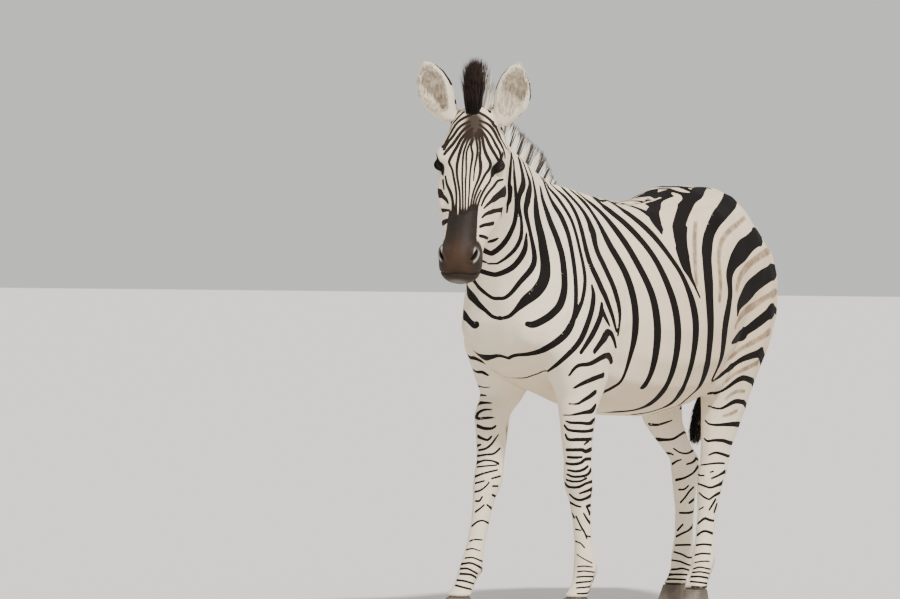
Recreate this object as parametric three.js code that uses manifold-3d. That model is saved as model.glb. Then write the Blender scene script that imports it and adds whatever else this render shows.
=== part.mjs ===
// A standing plains zebra, life size, in millimetres, +Z up.
// The animal faces -Y and its left side is +X; the head is turned to its left and the right fore foot is forward.
import * as THREE from "three";
import { mergeVertices } from "three/addons/utils/BufferGeometryUtils.js";
import Module from "manifold-3d";

// Driving dimensions of the body.
const withersHeight = 1326;
const backHeight = 1272;
const croupHeight = 1319;
const breastFront = -632;
const withersAt = -340;
const croupAt = 340;
const buttockBack = 692;
const brisketHeight = 690;
const bellyHeight = 603;
const shoulderHalf = 188;
const barrelHalf = 292;
const haunchHalf = 224;

// Head: the poll is the root of the face line, which runs down and forward to the lips.
const pollX = 130;
const pollY = -892;
const pollZ = 1541;
const headTurn = 27;
const faceLean = 20;
const headRoll = 2.2;
const headLength = 520;
const browHalf = 104;
const muzzleHalf = 64;
const jawDepth = 252;

// Ears, eyes and hair.
const earLength = 190;
const earHalf = 55;
const earWall = 10;
const eyeRadius = 21;
const eyeAlong = 155;
const eyeAside = 88;
const eyeBehind = 42;
const maneHeight = 92;
const maneHalf = 24;
const forelockHeight = 152;
const tailHalf = 24;

// Legs and hooves.
const hoofHeight = 62;
const hoofHalf = 46;
const hoofLength = 108;
const kneeHeight = 420;
const hockHeight = 440;
const foreCut = 648;
const hindCut = 612;
const gap = 0.3;
const clearance = 0.6;

const wasm = await Module();
wasm.setup();

const degree = Math.PI / 180;
const vector = (x, y, z) => new THREE.Vector3(x, y, z);

// One number on a smooth curve through four neighbours.
function throughFour(a, b, c, d, t) {
  const bend = 2 * a - 5 * b + 4 * c - d;
  const twist = 3 * b - a - 3 * c + d;
  return b + 0.5 * t * (c - a + t * (bend + t * twist));
}

// Fills a short table of stations with evenly spread ones on smooth curves.
function fill(keys, steps) {
  const rows = [];
  for (let i = 0; i < keys.length - 1; i += 1) {
    const last = i === keys.length - 2;
    const near = [keys[Math.max(i - 1, 0)], keys[i], keys[i + 1], keys[Math.min(i + 2, keys.length - 1)]];
    for (let s = 0; s < steps + (last ? 1 : 0); s += 1) {
      const row = {};
      for (const field of Object.keys(keys[0])) {
        row[field] = throughFour(...near.map((key) => key[field]), s / steps);
      }
      rows.push(row);
    }
  }
  return rows;
}

// A closed curve about a centre: half width to the sides, a rise above and a drop below.
// square above 2 gives a boxier section, narrow above 0 thins its upper part.
function ring(centre, side, up, size, sides) {
  const points = [];
  const power = 2 / (size.square ?? 2);
  for (let i = 0; i < sides; i += 1) {
    const angle = (2 * Math.PI * (i + 0.5)) / sides;
    const across = Math.sign(Math.cos(angle)) * Math.abs(Math.cos(angle)) ** power;
    const along = Math.sign(Math.sin(angle)) * Math.abs(Math.sin(angle)) ** power;
    const half = size.half * (1 - (size.narrow ?? 0) * along);
    const reach = along > 0 ? size.rise : size.drop;
    const point = centre.clone().addScaledVector(side, across * half);
    points.push(point.addScaledVector(up, along * reach));
  }
  return points;
}

function centreOf(points) {
  const middle = vector(0, 0, 0);
  points.forEach((point) => middle.addScaledVector(point, 1 / points.length));
  return middle;
}

// Pushes the two end rings outwards, so that a grown solid is longer as well as thicker.
function pushEnds(rings, grow) {
  for (const [end, next] of [[rings[0], rings[1]], [rings.at(-1), rings.at(-2)]]) {
    const push = centreOf(end).sub(centreOf(next)).normalize().multiplyScalar(grow);
    end.forEach((point) => point.add(push));
  }
}

// Joins rings into one closed solid with a fan over each end.
function solidFromRings(rings, grow = 0) {
  const sides = rings[0].length;
  pushEnds(rings, grow);
  const points = rings.flat();
  const faces = [];
  for (let r = 0; r < rings.length - 1; r += 1) {
    for (let i = 0; i < sides; i += 1) {
      const j = (i + 1) % sides;
      const low = r * sides;
      const high = low + sides;
      faces.push(low + i, low + j, high + j, low + i, high + j, high + i);
    }
  }
  for (const [row, turned] of [[0, true], [rings.length - 1, false]]) {
    const tip = points.push(centreOf(rings[row])) - 1;
    for (let i = 0; i < sides; i += 1) {
      const a = row * sides + i;
      const b = row * sides + ((i + 1) % sides);
      faces.push(tip, turned ? b : a, turned ? a : b);
    }
  }
  return solidFromFaces(points, faces);
}

function solidFromFaces(points, faces) {
  const geometry = new THREE.BufferGeometry();
  geometry.setAttribute("position", new THREE.Float32BufferAttribute(points.flatMap((p) => p.toArray()), 3));
  geometry.setIndex(faces);
  return solidFromGeometry(geometry);
}

function solidFromGeometry(geometry) {
  geometry.deleteAttribute("normal");
  geometry.deleteAttribute("uv");
  const merged = mergeVertices(geometry, 1e-4);
  const triVerts = new Uint32Array(merged.index.array);
  const vertProperties = merged.attributes.position.array;
  const made = new wasm.Manifold(new wasm.Mesh({ numProp: 3, vertProperties, triVerts }));
  if (made.volume() > 0) {
    return made;
  }
  triVerts.reverse();
  return new wasm.Manifold(new wasm.Mesh({ numProp: 3, vertProperties, triVerts }));
}

// The largest piece of a solid, so that no sliver is left beside it.
function largest(solid) {
  const pieces = solid.decompose();
  return pieces.reduce((best, piece) => (piece.volume() > best.volume() ? piece : best));
}

function joined(solids) {
  return solids.reduce((sum, solid) => sum.add(solid));
}

function block(lowX, highX, lowY, highY, lowZ, highZ) {
  const shape = new THREE.BoxGeometry(highX - lowX, highY - lowY, highZ - lowZ);
  shape.translate((lowX + highX) / 2, (lowY + highY) / 2, (lowZ + highZ) / 2);
  return solidFromGeometry(shape);
}

// A muscle or bone end: a round mass stretched and turned about the side axis.
function mass(x, y, z, halfX, halfY, halfZ, lean = 0, turn = 0) {
  const shape = new THREE.SphereGeometry(1, 10, 7);
  shape.scale(halfX, halfY, halfZ);
  shape.rotateX(lean * degree);
  shape.rotateZ(turn * degree);
  shape.translate(x, y, z);
  return solidFromGeometry(shape);
}

// ---------- trunk ----------
const trunkStations = [
  { y: breastFront, top: 1050, bottom: 900, half: 62, narrow: 0.05, square: 2 },
  { y: breastFront + 26, top: 1125, bottom: 822, half: 120, narrow: 0.05, square: 2.1 },
  { y: breastFront + 85, top: 1210, bottom: 752, half: 160, narrow: 0.1, square: 2.1 },
  { y: breastFront + 180, top: 1300, bottom: brisketHeight + 16, half: 178, narrow: 0.22, square: 2.1 },
  { y: withersAt, top: withersHeight, bottom: brisketHeight - 18, half: shoulderHalf, narrow: 0.26, square: 2.1 },
  { y: withersAt + 130, top: 1299, bottom: bellyHeight + 31, half: 222, narrow: 0.18, square: 2.1 },
  { y: withersAt + 260, top: 1277, bottom: bellyHeight + 10, half: 262, narrow: 0.13, square: 2.15 },
  { y: 50, top: backHeight, bottom: bellyHeight, half: barrelHalf - 2, narrow: 0.12, square: 2.15 },
  { y: 180, top: 1292, bottom: bellyHeight + 12, half: barrelHalf, narrow: 0.1, square: 2.15 },
  { y: 270, top: 1322, bottom: bellyHeight + 46, half: barrelHalf - 16, narrow: 0.04, square: 2.15 },
  { y: croupAt + 20, top: croupHeight, bottom: 714, half: haunchHalf + 20, narrow: 0, square: 2.2 },
  { y: croupAt + 120, top: 1318, bottom: 800, half: haunchHalf, narrow: 0, square: 2.2 },
  { y: croupAt + 220, top: 1274, bottom: 872, half: haunchHalf - 32, narrow: 0.05, square: 2.1 },
  { y: buttockBack - 66, top: 1212, bottom: 930, half: 142, narrow: 0.1, square: 2.1 },
  { y: buttockBack - 18, top: 1150, bottom: 985, half: 74, narrow: 0.1, square: 2 },
];

function makeTrunk(grow) {
  const rings = fill(trunkStations, 2).map((row) => {
    const reach = (row.top - row.bottom) / 2 + grow;
    const size = { ...row, half: row.half + grow, rise: reach, drop: reach };
    return ring(vector(0, row.y, (row.top + row.bottom) / 2), vector(1, 0, 0), vector(0, 0, 1), size, 20);
  });
  return solidFromRings(rings, grow);
}

// ---------- neck ----------
// Each station runs from the crest to the throat; turn swings its sides towards the head.
const neckStations = [
  { x: 0, crestY: -215, crestZ: 1268, throatX: 0, throatY: -520, throatZ: 780, half: 122, turn: 0 },
  { x: 0, crestY: -345, crestZ: 1324, throatX: 0, throatY: -622, throatZ: 900, half: 138, turn: 2 },
  { x: 8, crestY: -455, crestZ: 1366, throatX: 6, throatY: -652, throatZ: 1010, half: 118, turn: 8 },
  { x: 34, crestY: -585, crestZ: 1422, throatX: 24, throatY: -680, throatZ: 1118, half: 97, turn: 15 },
  { x: 72, crestY: -715, crestZ: 1476, throatX: 44, throatY: -708, throatZ: 1212, half: 84, turn: 21 },
  { x: 106, crestY: -820, crestZ: 1514, throatX: 62, throatY: -742, throatZ: 1296, half: 76, turn: 25 },
  { x: 122, crestY: -868, crestZ: 1520, throatX: 84, throatY: -792, throatZ: 1350, half: 60, turn: 25 },
];

function makeNeck(grow) {
  const rings = fill(neckStations, 2).map((row) => {
    const crest = vector(row.x, row.crestY, row.crestZ);
    const throat = vector(row.throatX, row.throatY, row.throatZ);
    const up = crest.clone().sub(throat);
    const reach = up.length() / 2 + grow;
    const side = vector(Math.cos(row.turn * degree), Math.sin(row.turn * degree), 0);
    const size = { half: row.half + grow, rise: reach, drop: reach, narrow: 0.3, square: 2.1 };
    return ring(crest.add(throat).multiplyScalar(0.5), side, up.normalize(), size, 16);
  });
  return solidFromRings(rings, grow);
}

// ---------- head ----------
// The head's own frame: x to its left, y forward out of the face, z from the lips to the poll.
const headFrame = new THREE.Matrix4()
  .makeTranslation(pollX, pollY, pollZ)
  .multiply(new THREE.Matrix4().makeRotationZ(headTurn * degree))
  .multiply(new THREE.Matrix4().makeRotationX(-faceLean * degree))
  .multiply(new THREE.Matrix4().makeRotationY(headRoll * degree));

function onHead(side, forward, down) {
  return vector(side, -forward, -down).applyMatrix4(headFrame);
}

// face is the profile in front of the face line, depth runs from the profile back to the jaw.
const headStations = [
  { down: -34, face: -46, depth: 70, half: 34, narrow: 0, square: 2 },
  { down: -20, face: -14, depth: 132, half: 58, narrow: 0, square: 2 },
  { down: 12, face: 2, depth: 180, half: 75, narrow: 0, square: 2.1 },
  { down: 56, face: 9, depth: 218, half: 88, narrow: -0.02, square: 2.2 },
  { down: 108, face: 10, depth: 244, half: browHalf - 3, narrow: -0.14, square: 2.4 },
  { down: 154, face: 5, depth: jawDepth, half: browHalf - 8, narrow: -0.16, square: 2.4 },
  { down: 200, face: 1, depth: 240, half: 99, narrow: 0.08, square: 2.4 },
  { down: 252, face: -1, depth: 210, half: 92, narrow: 0.2, square: 2.4 },
  { down: 308, face: -3, depth: 174, half: 80, narrow: 0.26, square: 2.4 },
  { down: 362, face: -4, depth: 140, half: 66, narrow: 0.18, square: 2.3 },
  { down: 408, face: -1, depth: 126, half: 59, narrow: 0.05, square: 2.3 },
  { down: 448, face: 2, depth: 123, half: muzzleHalf, narrow: 0, square: 2.3 },
  { down: 482, face: -5, depth: 110, half: muzzleHalf - 3, narrow: 0, square: 2.3 },
  { down: 506, face: -22, depth: 78, half: 48, narrow: 0, square: 2.2 },
  { down: headLength, face: -40, depth: 36, half: 24, narrow: 0, square: 2 },
];

function makeHead(grow) {
  const side = onHead(1, 0, 0).sub(onHead(0, 0, 0));
  const out = onHead(0, 1, 0).sub(onHead(0, 0, 0));
  const rings = fill(headStations, 2).map((row) => {
    const reach = row.depth / 2 + grow;
    const size = { ...row, half: row.half + grow, rise: reach, drop: reach };
    return ring(onHead(0, row.face - row.depth / 2, row.down), side, out, size, 20);
  });
  return solidFromRings(rings, grow);
}

function headMass(aside, forward, down, halves, lean) {
  const shape = new THREE.SphereGeometry(1, 10, 6);
  shape.scale(...halves);
  shape.rotateX(lean * degree);
  shape.translate(aside, -forward, -down);
  return solidFromGeometry(shape.applyMatrix4(headFrame));
}

// Cheek muscle, brow over the eye, crest of the cheek and the swell beside the nostril.
function headMasses(grow) {
  const masses = [];
  for (const sign of [-1, 1]) {
    masses.push(headMass(sign * 46, -150, 190, [46 + grow, 74 + grow, 88 + grow], -18));
    masses.push(headMass(sign * 72, -22, 132, [27 + grow, 24 + grow, 34 + grow], 10));
    masses.push(headMass(sign * 66, -60, 236, [17 + grow, 22 + grow, 72 + grow], -8));
    masses.push(headMass(sign * 38, -36, 444, [27 + grow, 34 + grow, 40 + grow], 12));
  }
  return masses;
}

function makeEye(sign, grow) {
  const shape = new THREE.SphereGeometry(eyeRadius + grow, 12, 8);
  shape.translate(sign * eyeAside, eyeBehind, -eyeAlong);
  return solidFromGeometry(shape.applyMatrix4(headFrame));
}

// ---------- ears ----------
// A cupped leaf: rings climb from the root to the tip, and a smaller leaf hollows its open face.
const earStations = [
  { along: 0, half: 0.4, deep: 0.42, out: 0 },
  { along: 0.14, half: 0.64, deep: 0.54, out: 0.1 },
  { along: 0.34, half: 0.94, deep: 0.62, out: 0.2 },
  { along: 0.54, half: 1, deep: 0.54, out: 0.18 },
  { along: 0.74, half: 0.82, deep: 0.38, out: 0.1 },
  { along: 0.9, half: 0.48, deep: 0.22, out: 0.02 },
  { along: 1, half: 0.1, deep: 0.08, out: 0 },
];

function earLeaf(sign, inset, forward, rise) {
  return fill(earStations, 1).map((row) => {
    const half = Math.max(row.half * earHalf - inset, 1);
    const deep = Math.max(row.deep * earHalf - inset, 1);
    const size = { half, rise: deep, drop: deep * 0.9 };
    const bow = 14 * Math.sin(Math.PI * row.along) + forward;
    const up = row.along * (earLength - inset) + rise;
    return ring(vector(sign * row.out * earHalf, bow, up), vector(1, 0, 0), vector(0, 1, 0), size, 14);
  });
}

function placeEar(sign, leaf) {
  const root = onHead(sign * 76, -48, 12 + sign * 4);
  const place = new THREE.Matrix4()
    .makeTranslation(root.x, root.y, root.z)
    .multiply(new THREE.Matrix4().makeRotationZ((headTurn + sign * 8) * degree))
    .multiply(new THREE.Matrix4().makeRotationY(sign * (sign > 0 ? 18 : 23) * degree))
    .multiply(new THREE.Matrix4().makeRotationX(8 * degree));
  return leaf.transform(place.toArray());
}

function makeEar(sign) {
  const outer = solidFromRings(earLeaf(sign, 0, 0, 0));
  const hollow = solidFromRings(earLeaf(sign, earWall, 0, earWall * 2));
  const mouth = solidFromRings(earLeaf(sign, earWall, -earWall * 2.2, earWall * 3));
  return placeEar(sign, largest(outer.subtract(hollow.add(mouth))));
}

function grownEar(sign) {
  return placeEar(sign, solidFromRings(earLeaf(sign, -clearance, 0, 0), clearance));
}

// ---------- legs ----------
// Stations of a left leg: x out from the middle plane, y along the body, half widths across and along.
const foreUpper = [
  { x: 96, y: -335, z: 1175, half: 52, front: 62, rear: 62 },
  { x: 112, y: -365, z: 1060, half: 74, front: 120, rear: 110 },
  { x: 122, y: -392, z: 930, half: 84, front: 165, rear: 150 },
  { x: 130, y: -400, z: 830, half: 80, front: 150, rear: 160 },
  { x: 140, y: -396, z: 745, half: 68, front: 104, rear: 118 },
  { x: 146, y: -392, z: 680, half: 55, front: 76, rear: 84 },
];
const foreLower = [
  { z: 615, half: 47, front: 62, rear: 62 },
  { z: 545, half: 42, front: 54, rear: 48 },
  { z: 480, half: 38, front: 44, rear: 42 },
  { z: kneeHeight + 14, half: 43, front: 44, rear: 42 },
  { z: kneeHeight - 22, half: 41, front: 41, rear: 42 },
  { z: 352, half: 30, front: 31, rear: 34 },
  { z: 290, half: 25, front: 26, rear: 31 },
  { z: 220, half: 24, front: 26, rear: 32 },
  { z: 178, half: 28, front: 30, rear: 37 },
  { z: 148, half: 32, front: 33, rear: 42 },
  { z: 116, half: 28, front: 28, rear: 35 },
  { z: 88, half: 29, front: 29, rear: 31 },
  { z: hoofHeight, half: 36, front: 35, rear: 34 },
];
const hindUpper = [
  { x: 92, y: 400, z: 1230, half: 62, front: 90, rear: 90 },
  { x: 112, y: 450, z: 1120, half: 92, front: 160, rear: 180 },
  { x: 122, y: 456, z: 1020, half: 98, front: 200, rear: 178 },
  { x: 136, y: 438, z: 920, half: 96, front: 203, rear: 168 },
  { x: 145, y: 408, z: 820, half: 86, front: 170, rear: 145 },
  { x: 146, y: 388, z: 735, half: 68, front: 124, rear: 116 },
];
const hindLower = [
  { z: 650, half: 54, front: 88, rear: 94 },
  { z: 575, half: 45, front: 68, rear: 76 },
  { z: 505, half: 36, front: 52, rear: 66 },
  { z: hockHeight + 18, half: 35, front: 46, rear: 66 },
  { z: hockHeight - 24, half: 38, front: 46, rear: 52 },
  { z: 366, half: 34, front: 38, rear: 40 },
  { z: 300, half: 26, front: 29, rear: 33 },
  { z: 222, half: 25, front: 28, rear: 33 },
  { z: 178, half: 29, front: 31, rear: 38 },
  { z: 148, half: 32, front: 34, rear: 42 },
  { z: 114, half: 28, front: 28, rear: 35 },
  { z: 86, half: 29, front: 29, rear: 31 },
  { z: hoofHeight, half: 36, front: 35, rear: 34 },
];

// Where each leg's centre line passes, from the cut below the body down to the coronet.
const foreLeftLine = [[147, -396], [146, -394], [144, -390], [143, -387], [142, -383], [141, -374], [141, -366],
  [140, -358], [140, -353], [140, -350], [140, -361], [140, -376], [140, -394]];
const foreRightLine = [[149, -440], [149, -440], [150, -445], [151, -454], [152, -462], [154, -478], [156, -492],
  [159, -511], [162, -522], [165, -529], [168, -547], [170, -562], [172, -577]];
const hindLeftLine = [[143, 366], [138, 348], [131, 336], [125, 334], [122, 328], [120, 318], [118, 310],
  [116, 301], [115, 295], [115, 291], [115, 281], [115, 268], [115, 254]];
const hindRightLine = [[136, 396], [128, 412], [120, 458], [114, 498], [112, 506], [111, 503], [110, 500],
  [110, 496], [110, 492], [110, 489], [110, 478], [110, 465], [110, 451]];

function makeLeg(sign, upper, lower, line, grow) {
  const stations = upper.concat(lower.map((row, i) => ({ x: line[i][0], y: line[i][1], ...row })));
  const rings = fill(stations, 1).map((row) => {
    const size = { half: row.half + grow, rise: row.rear + grow, drop: row.front + grow, square: 2.2 };
    return ring(vector(sign * row.x, row.y, row.z), vector(1, 0, 0), vector(0, 1, 0), size, 12);
  });
  return solidFromRings(rings, grow);
}

// A hoof grows from the coronet forward and out to a flat sole on the floor.
function makeHoof(sign, line, turn) {
  const [x, y] = line[line.length - 1];
  const stations = [
    { z: 0, half: hoofHalf, front: hoofLength - hoofHalf + 10, rear: hoofHalf - 6 },
    { z: hoofHeight * 0.42, half: hoofHalf - 3, front: hoofLength - hoofHalf - 6, rear: hoofHalf - 7 },
    { z: hoofHeight * 0.8, half: hoofHalf - 7, front: 44, rear: 38 },
    { z: hoofHeight - gap, half: 37, front: 36, rear: 35 },
  ];
  const rings = fill(stations, 1).map((row) => {
    const size = { half: row.half, rise: row.rear, drop: row.front, square: 2.2 };
    const side = vector(Math.cos(turn * degree), Math.sin(turn * degree), 0);
    const back = vector(-side.y, side.x, 0);
    return ring(vector(sign * x, y, row.z), side, back, size, 16);
  });
  return solidFromRings(rings);
}

// ---------- tail, mane and forelock ----------
const tailStations = [
  { x: 0, y: buttockBack - 70, z: 1196, half: 1.25, deep: 1.1 },
  { x: -2, y: buttockBack - 6, z: 1168, half: 1.15, deep: 1.05 },
  { x: -8, y: buttockBack + 30, z: 1100, half: 1.0, deep: 0.95 },
  { x: -22, y: buttockBack + 34, z: 1000, half: 0.9, deep: 0.85 },
  { x: -44, y: buttockBack + 14, z: 900, half: 0.85, deep: 0.8 },
  { x: -66, y: buttockBack - 26, z: 800, half: 1.0, deep: 0.95 },
  { x: -86, y: buttockBack - 72, z: 700, half: 1.3, deep: 1.2 },
  { x: -98, y: buttockBack - 112, z: 610, half: 1.25, deep: 1.15 },
  { x: -104, y: buttockBack - 136, z: 545, half: 0.75, deep: 0.7 },
  { x: -106, y: buttockBack - 146, z: 508, half: 0.2, deep: 0.2 },
];

function makeTail() {
  const rings = fill(tailStations, 2).map((row) => {
    const reach = row.deep * tailHalf;
    const size = { half: row.half * tailHalf, rise: reach, drop: reach };
    return ring(vector(row.x, row.y, row.z), vector(1, 0, 0), vector(0, 0.92, 0.39), size, 10);
  });
  return solidFromRings(rings);
}

// The mane stands on the crest from the withers to the poll.
const maneStations = [
  { x: 0, y: -318, z: 1312, tall: 0.1, half: 0.5, lean: 0, turn: 0 },
  { x: 1, y: -368, z: 1322, tall: 0.42, half: 0.75, lean: 0.1, turn: 3 },
  { x: 8, y: -450, z: 1356, tall: 0.98, half: 0.9, lean: 0, turn: 8 },
  { x: 33, y: -580, z: 1412, tall: 1.02, half: 1, lean: -0.05, turn: 15 },
  { x: 70, y: -708, z: 1466, tall: 1.05, half: 1.05, lean: -0.1, turn: 21 },
  { x: 100, y: -800, z: 1500, tall: 1.15, half: 1.15, lean: -0.12, turn: 25 },
  { x: 112, y: -838, z: 1512, tall: 1.2, half: 1.15, lean: -0.12, turn: 25 },
];

function uprightHair(stations, tall, grow = 0) {
  const rings = fill(stations, 1).map((row) => {
    const side = vector(Math.cos(row.turn * degree), Math.sin(row.turn * degree), 0);
    const up = vector(0, row.lean, 1).normalize();
    const rise = row.tall * tall + grow;
    const size = { half: row.half * maneHalf + grow, rise, drop: 26 + grow, narrow: 0.3, square: 2.6 };
    return ring(vector(row.x, row.y, row.z), side, up, size, 10);
  });
  return solidFromRings(rings, grow);
}

// The forelock is the mane's front end: a tall brush between the ears.
function forelockStations() {
  const rows = [];
  for (const [down, forward, tall] of [[-34, -84, 0.8], [-24, -58, 0.95], [-8, -34, 1], [8, -14, 0.9], [22, 0, 0.5]]) {
    const root = onHead(0, forward - 6, down);
    rows.push({ x: root.x, y: root.y, z: root.z, tall, half: 1.05, lean: -0.06, turn: headTurn });
  }
  return rows;
}

// ---------- joining and parting ----------
function makeBody(grow) {
  const parts = [makeTrunk(grow), makeNeck(grow)];
  for (const [sign, fore, hind] of [[1, foreLeftLine, hindLeftLine], [-1, foreRightLine, hindRightLine]]) {
    parts.push(makeLeg(sign, foreUpper, foreLower, fore, grow));
    parts.push(makeLeg(sign, hindUpper, hindLower, hind, grow));
    parts.push(mass(sign * 84, -536, 905, 68 + grow, 84 + grow, 108 + grow, 12));
    parts.push(mass(sign * 165, -232, 905, 58 + grow, 90 + grow, 190 + grow, 20));
    parts.push(mass(sign * 160, 262, 766, 64 + grow, 66 + grow, 112 + grow, -28));
    parts.push(mass(sign * 76, 582, 1050, 76 + grow, 92 + grow, 150 + grow, 0));
    parts.push(mass(sign * 158, 240, 1186, 60 + grow, 92 + grow, 70 + grow, 0));
  }
  return joined(parts);
}

const slot = {
  coat: new THREE.Color(0xe9e2d4),
  hair: new THREE.Color(0x2a2320),
  hoof: new THREE.Color(0x6f655a),
  eye: new THREE.Color(0x17100c),
};
const model = new THREE.Group();

function addNode(name, solid, color) {
  const mesh = solid.getMesh();
  const geometry = new THREE.BufferGeometry();
  geometry.setAttribute("position", new THREE.Float32BufferAttribute(mesh.vertProperties, 3));
  geometry.setIndex(new THREE.Uint32BufferAttribute(mesh.triVerts, 1));
  geometry.computeVertexNormals();
  const node = new THREE.Mesh(geometry, new THREE.MeshStandardMaterial({ color, roughness: 0.8 }));
  node.name = name;
  model.add(node);
}

// The neck is cut off the trunk on a slanting plane from the withers to the breast.
function neckBlock(grow) {
  const shape = new THREE.BoxGeometry(1200, 1400, 2400);
  shape.translate(0, -700 + grow, 0);
  shape.rotateX(-31 * degree);
  shape.translate(0, withersAt - 12, withersHeight);
  return solidFromGeometry(shape);
}

const body = makeBody(0);
const grownBody = makeBody(clearance);
const head = joined([makeHead(0), ...headMasses(0)]);
const grownHead = joined([makeHead(clearance), ...headMasses(clearance)]);
const eyes = { left: 1, right: -1 };

let headNode = head;
for (const sign of Object.values(eyes)) {
  headNode = headNode.subtract(makeEye(sign, clearance));
}
addNode("head", largest(headNode), slot.coat);
addNode("neck", largest(body.intersect(neckBlock(0)).subtract(grownHead)), slot.coat);

let trunkNode = body.subtract(neckBlock(gap)).subtract(grownHead);
const legs = {
  leg_fore_left: [-720, -240, foreCut, 1, foreLeftLine, 4],
  leg_fore_right: [-720, -240, foreCut, -1, foreRightLine, -6],
  leg_hind_left: [235, 900, hindCut, 1, hindLeftLine, 5],
  leg_hind_right: [235, 900, hindCut, -1, hindRightLine, -5],
};
for (const [name, [lowY, highY, cut, sign, line, turn]] of Object.entries(legs)) {
  const reach = sign > 0 ? [2, 500] : [-500, -2];
  const lower = block(...reach, lowY, highY, hoofHeight, cut);
  addNode(name, largest(body.intersect(lower)), slot.coat);
  trunkNode = trunkNode.subtract(block(...reach, lowY, highY, -20, cut + gap));
  addNode(name.replace("leg", "hoof"), makeHoof(sign, line, turn), slot.hoof);
}

const tail = makeTail().subtract(grownBody);
addNode("tail", largest(tail), slot.coat);
addNode("trunk", largest(trunkNode), slot.coat);

for (const [name, sign] of Object.entries(eyes)) {
  addNode("eye_" + name, makeEye(sign, 0), slot.eye);
  addNode("ear_" + name, largest(makeEar(sign).subtract(grownHead)), slot.coat);
}
const forelock = uprightHair(forelockStations(), forelockHeight);
const mane = uprightHair(maneStations, maneHeight).subtract(grownBody).subtract(grownHead);
addNode("mane", largest(mane), slot.hair);
const grownMane = uprightHair(maneStations, maneHeight, clearance);
const grownEars = grownEar(1).add(grownEar(-1));
const brush = forelock.subtract(grownHead).subtract(grownBody).subtract(grownMane).subtract(grownEars);
addNode("forelock", largest(brush), slot.hair);

// The origin sits under the middle of the whole animal, on the floor.
const bounds = new THREE.Box3().setFromObject(model);
const middle = bounds.getCenter(vector(0, 0, 0));
model.position.set(-middle.x, -middle.y, -bounds.min.z);

export default model;
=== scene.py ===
import math
import time

import bmesh
import bpy
import numpy as np
from mathutils import Matrix, Vector
from mathutils.bvhtree import BVHTree


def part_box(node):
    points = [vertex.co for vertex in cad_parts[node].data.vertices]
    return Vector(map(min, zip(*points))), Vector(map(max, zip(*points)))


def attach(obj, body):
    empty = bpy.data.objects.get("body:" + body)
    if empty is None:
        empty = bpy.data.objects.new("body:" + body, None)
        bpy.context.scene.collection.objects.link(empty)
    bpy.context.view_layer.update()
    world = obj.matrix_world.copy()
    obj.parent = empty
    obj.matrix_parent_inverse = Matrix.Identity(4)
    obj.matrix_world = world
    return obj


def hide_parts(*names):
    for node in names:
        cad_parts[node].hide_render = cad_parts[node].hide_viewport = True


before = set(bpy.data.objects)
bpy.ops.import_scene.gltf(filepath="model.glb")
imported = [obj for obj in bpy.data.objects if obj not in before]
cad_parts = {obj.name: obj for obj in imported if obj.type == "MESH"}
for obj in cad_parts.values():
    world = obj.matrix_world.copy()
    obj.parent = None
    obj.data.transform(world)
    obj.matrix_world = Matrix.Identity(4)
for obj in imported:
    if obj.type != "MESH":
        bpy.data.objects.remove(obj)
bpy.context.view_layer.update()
startTime = time.time()


def say(text):
    print("%5.1f s  %s" % (time.time() - startTime, text), flush=True)


# The body frame: x = 0 is the mid-plane, left is +x and the face looks to -y.
bodyShift = Vector((0.0, 0.15343, 0.0))
fleshNodes = ["head", "neck", "trunk", "tail", "ear_left", "ear_right",
              "leg_fore_left", "leg_fore_right", "leg_hind_left", "leg_hind_right"]
hoofNodes = ["hoof_fore_left", "hoof_fore_right", "hoof_hind_left", "hoof_hind_right"]
eyeNodes = ["eye_left", "eye_right"]

# Head frame: poll, turn, lean and roll, with side, forward and down lengths.
headPlace = {"poll": (0.130, -0.892, 1.541), "turn": 27.0, "lean": 20.0, "roll": 2.2}


def headMatrix():
    turn = Matrix.Rotation(math.radians(headPlace["turn"]), 4, "Z")
    lean = Matrix.Rotation(math.radians(-headPlace["lean"]), 4, "X")
    roll = Matrix.Rotation(math.radians(headPlace["roll"]), 4, "Y")
    return Matrix.Translation(bodyShift + Vector(headPlace["poll"])) @ turn @ lean @ roll


headToRow = headMatrix()
rowToHead = headToRow.inverted()


def onHead(side, forward, down):
    return headToRow @ Vector((side, -forward, -down))


# Row points to side, forward and down of the head.
def toHead(points):
    m = np.array(rowToHead)
    local = points @ m[:3, :3].T + m[:3, 3]
    return np.stack([local[:, 0], -local[:, 1], -local[:, 2]], 1)


# Camera.
cameraPlace = {"azimuth": 37.0, "height": 1.30, "distance": 24.0, "perMetre": 322.0,
               "originX": 617.0, "originY": 611.0, "width": 900, "depth": 599, "sensor": 36.0}
azimuth = math.radians(cameraPlace["azimuth"])
toward = Vector((math.sin(azimuth), -math.cos(azimuth), 0.0))
rightward = Vector((math.cos(azimuth), math.sin(azimuth), 0.0))
focal = cameraPlace["perMetre"] * cameraPlace["distance"]
horizonRow = cameraPlace["originY"] - cameraPlace["perMetre"] * cameraPlace["height"]
eyePoint = bodyShift + toward * cameraPlace["distance"] + Vector((0, 0, cameraPlace["height"]))


# Direction of the ray through a place of the camera's frame, 900 wide.
def pixelRay(x, y):
    ray = (-toward + rightward * ((x - cameraPlace["originX"]) / focal)
           - Vector((0, 0, 1)) * ((y - horizonRow) / focal))
    return ray.normalized()


# Skin: one closed surface.
skinValues = {"voxel": 0.006, "grow": 0.0015, "eyeShrink": 0.002, "roundsAll": 14, "roundsTrunk": 40,
              "roundsBarrel": 230}


def meshOf(name):
    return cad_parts[name]


def cleanCopy(name):
    source = meshOf(name)
    bm = bmesh.new()
    bm.from_mesh(source.data)
    bmesh.ops.remove_doubles(bm, verts=bm.verts, dist=1e-5)
    bmesh.ops.recalc_face_normals(bm, faces=bm.faces)
    return bm


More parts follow.
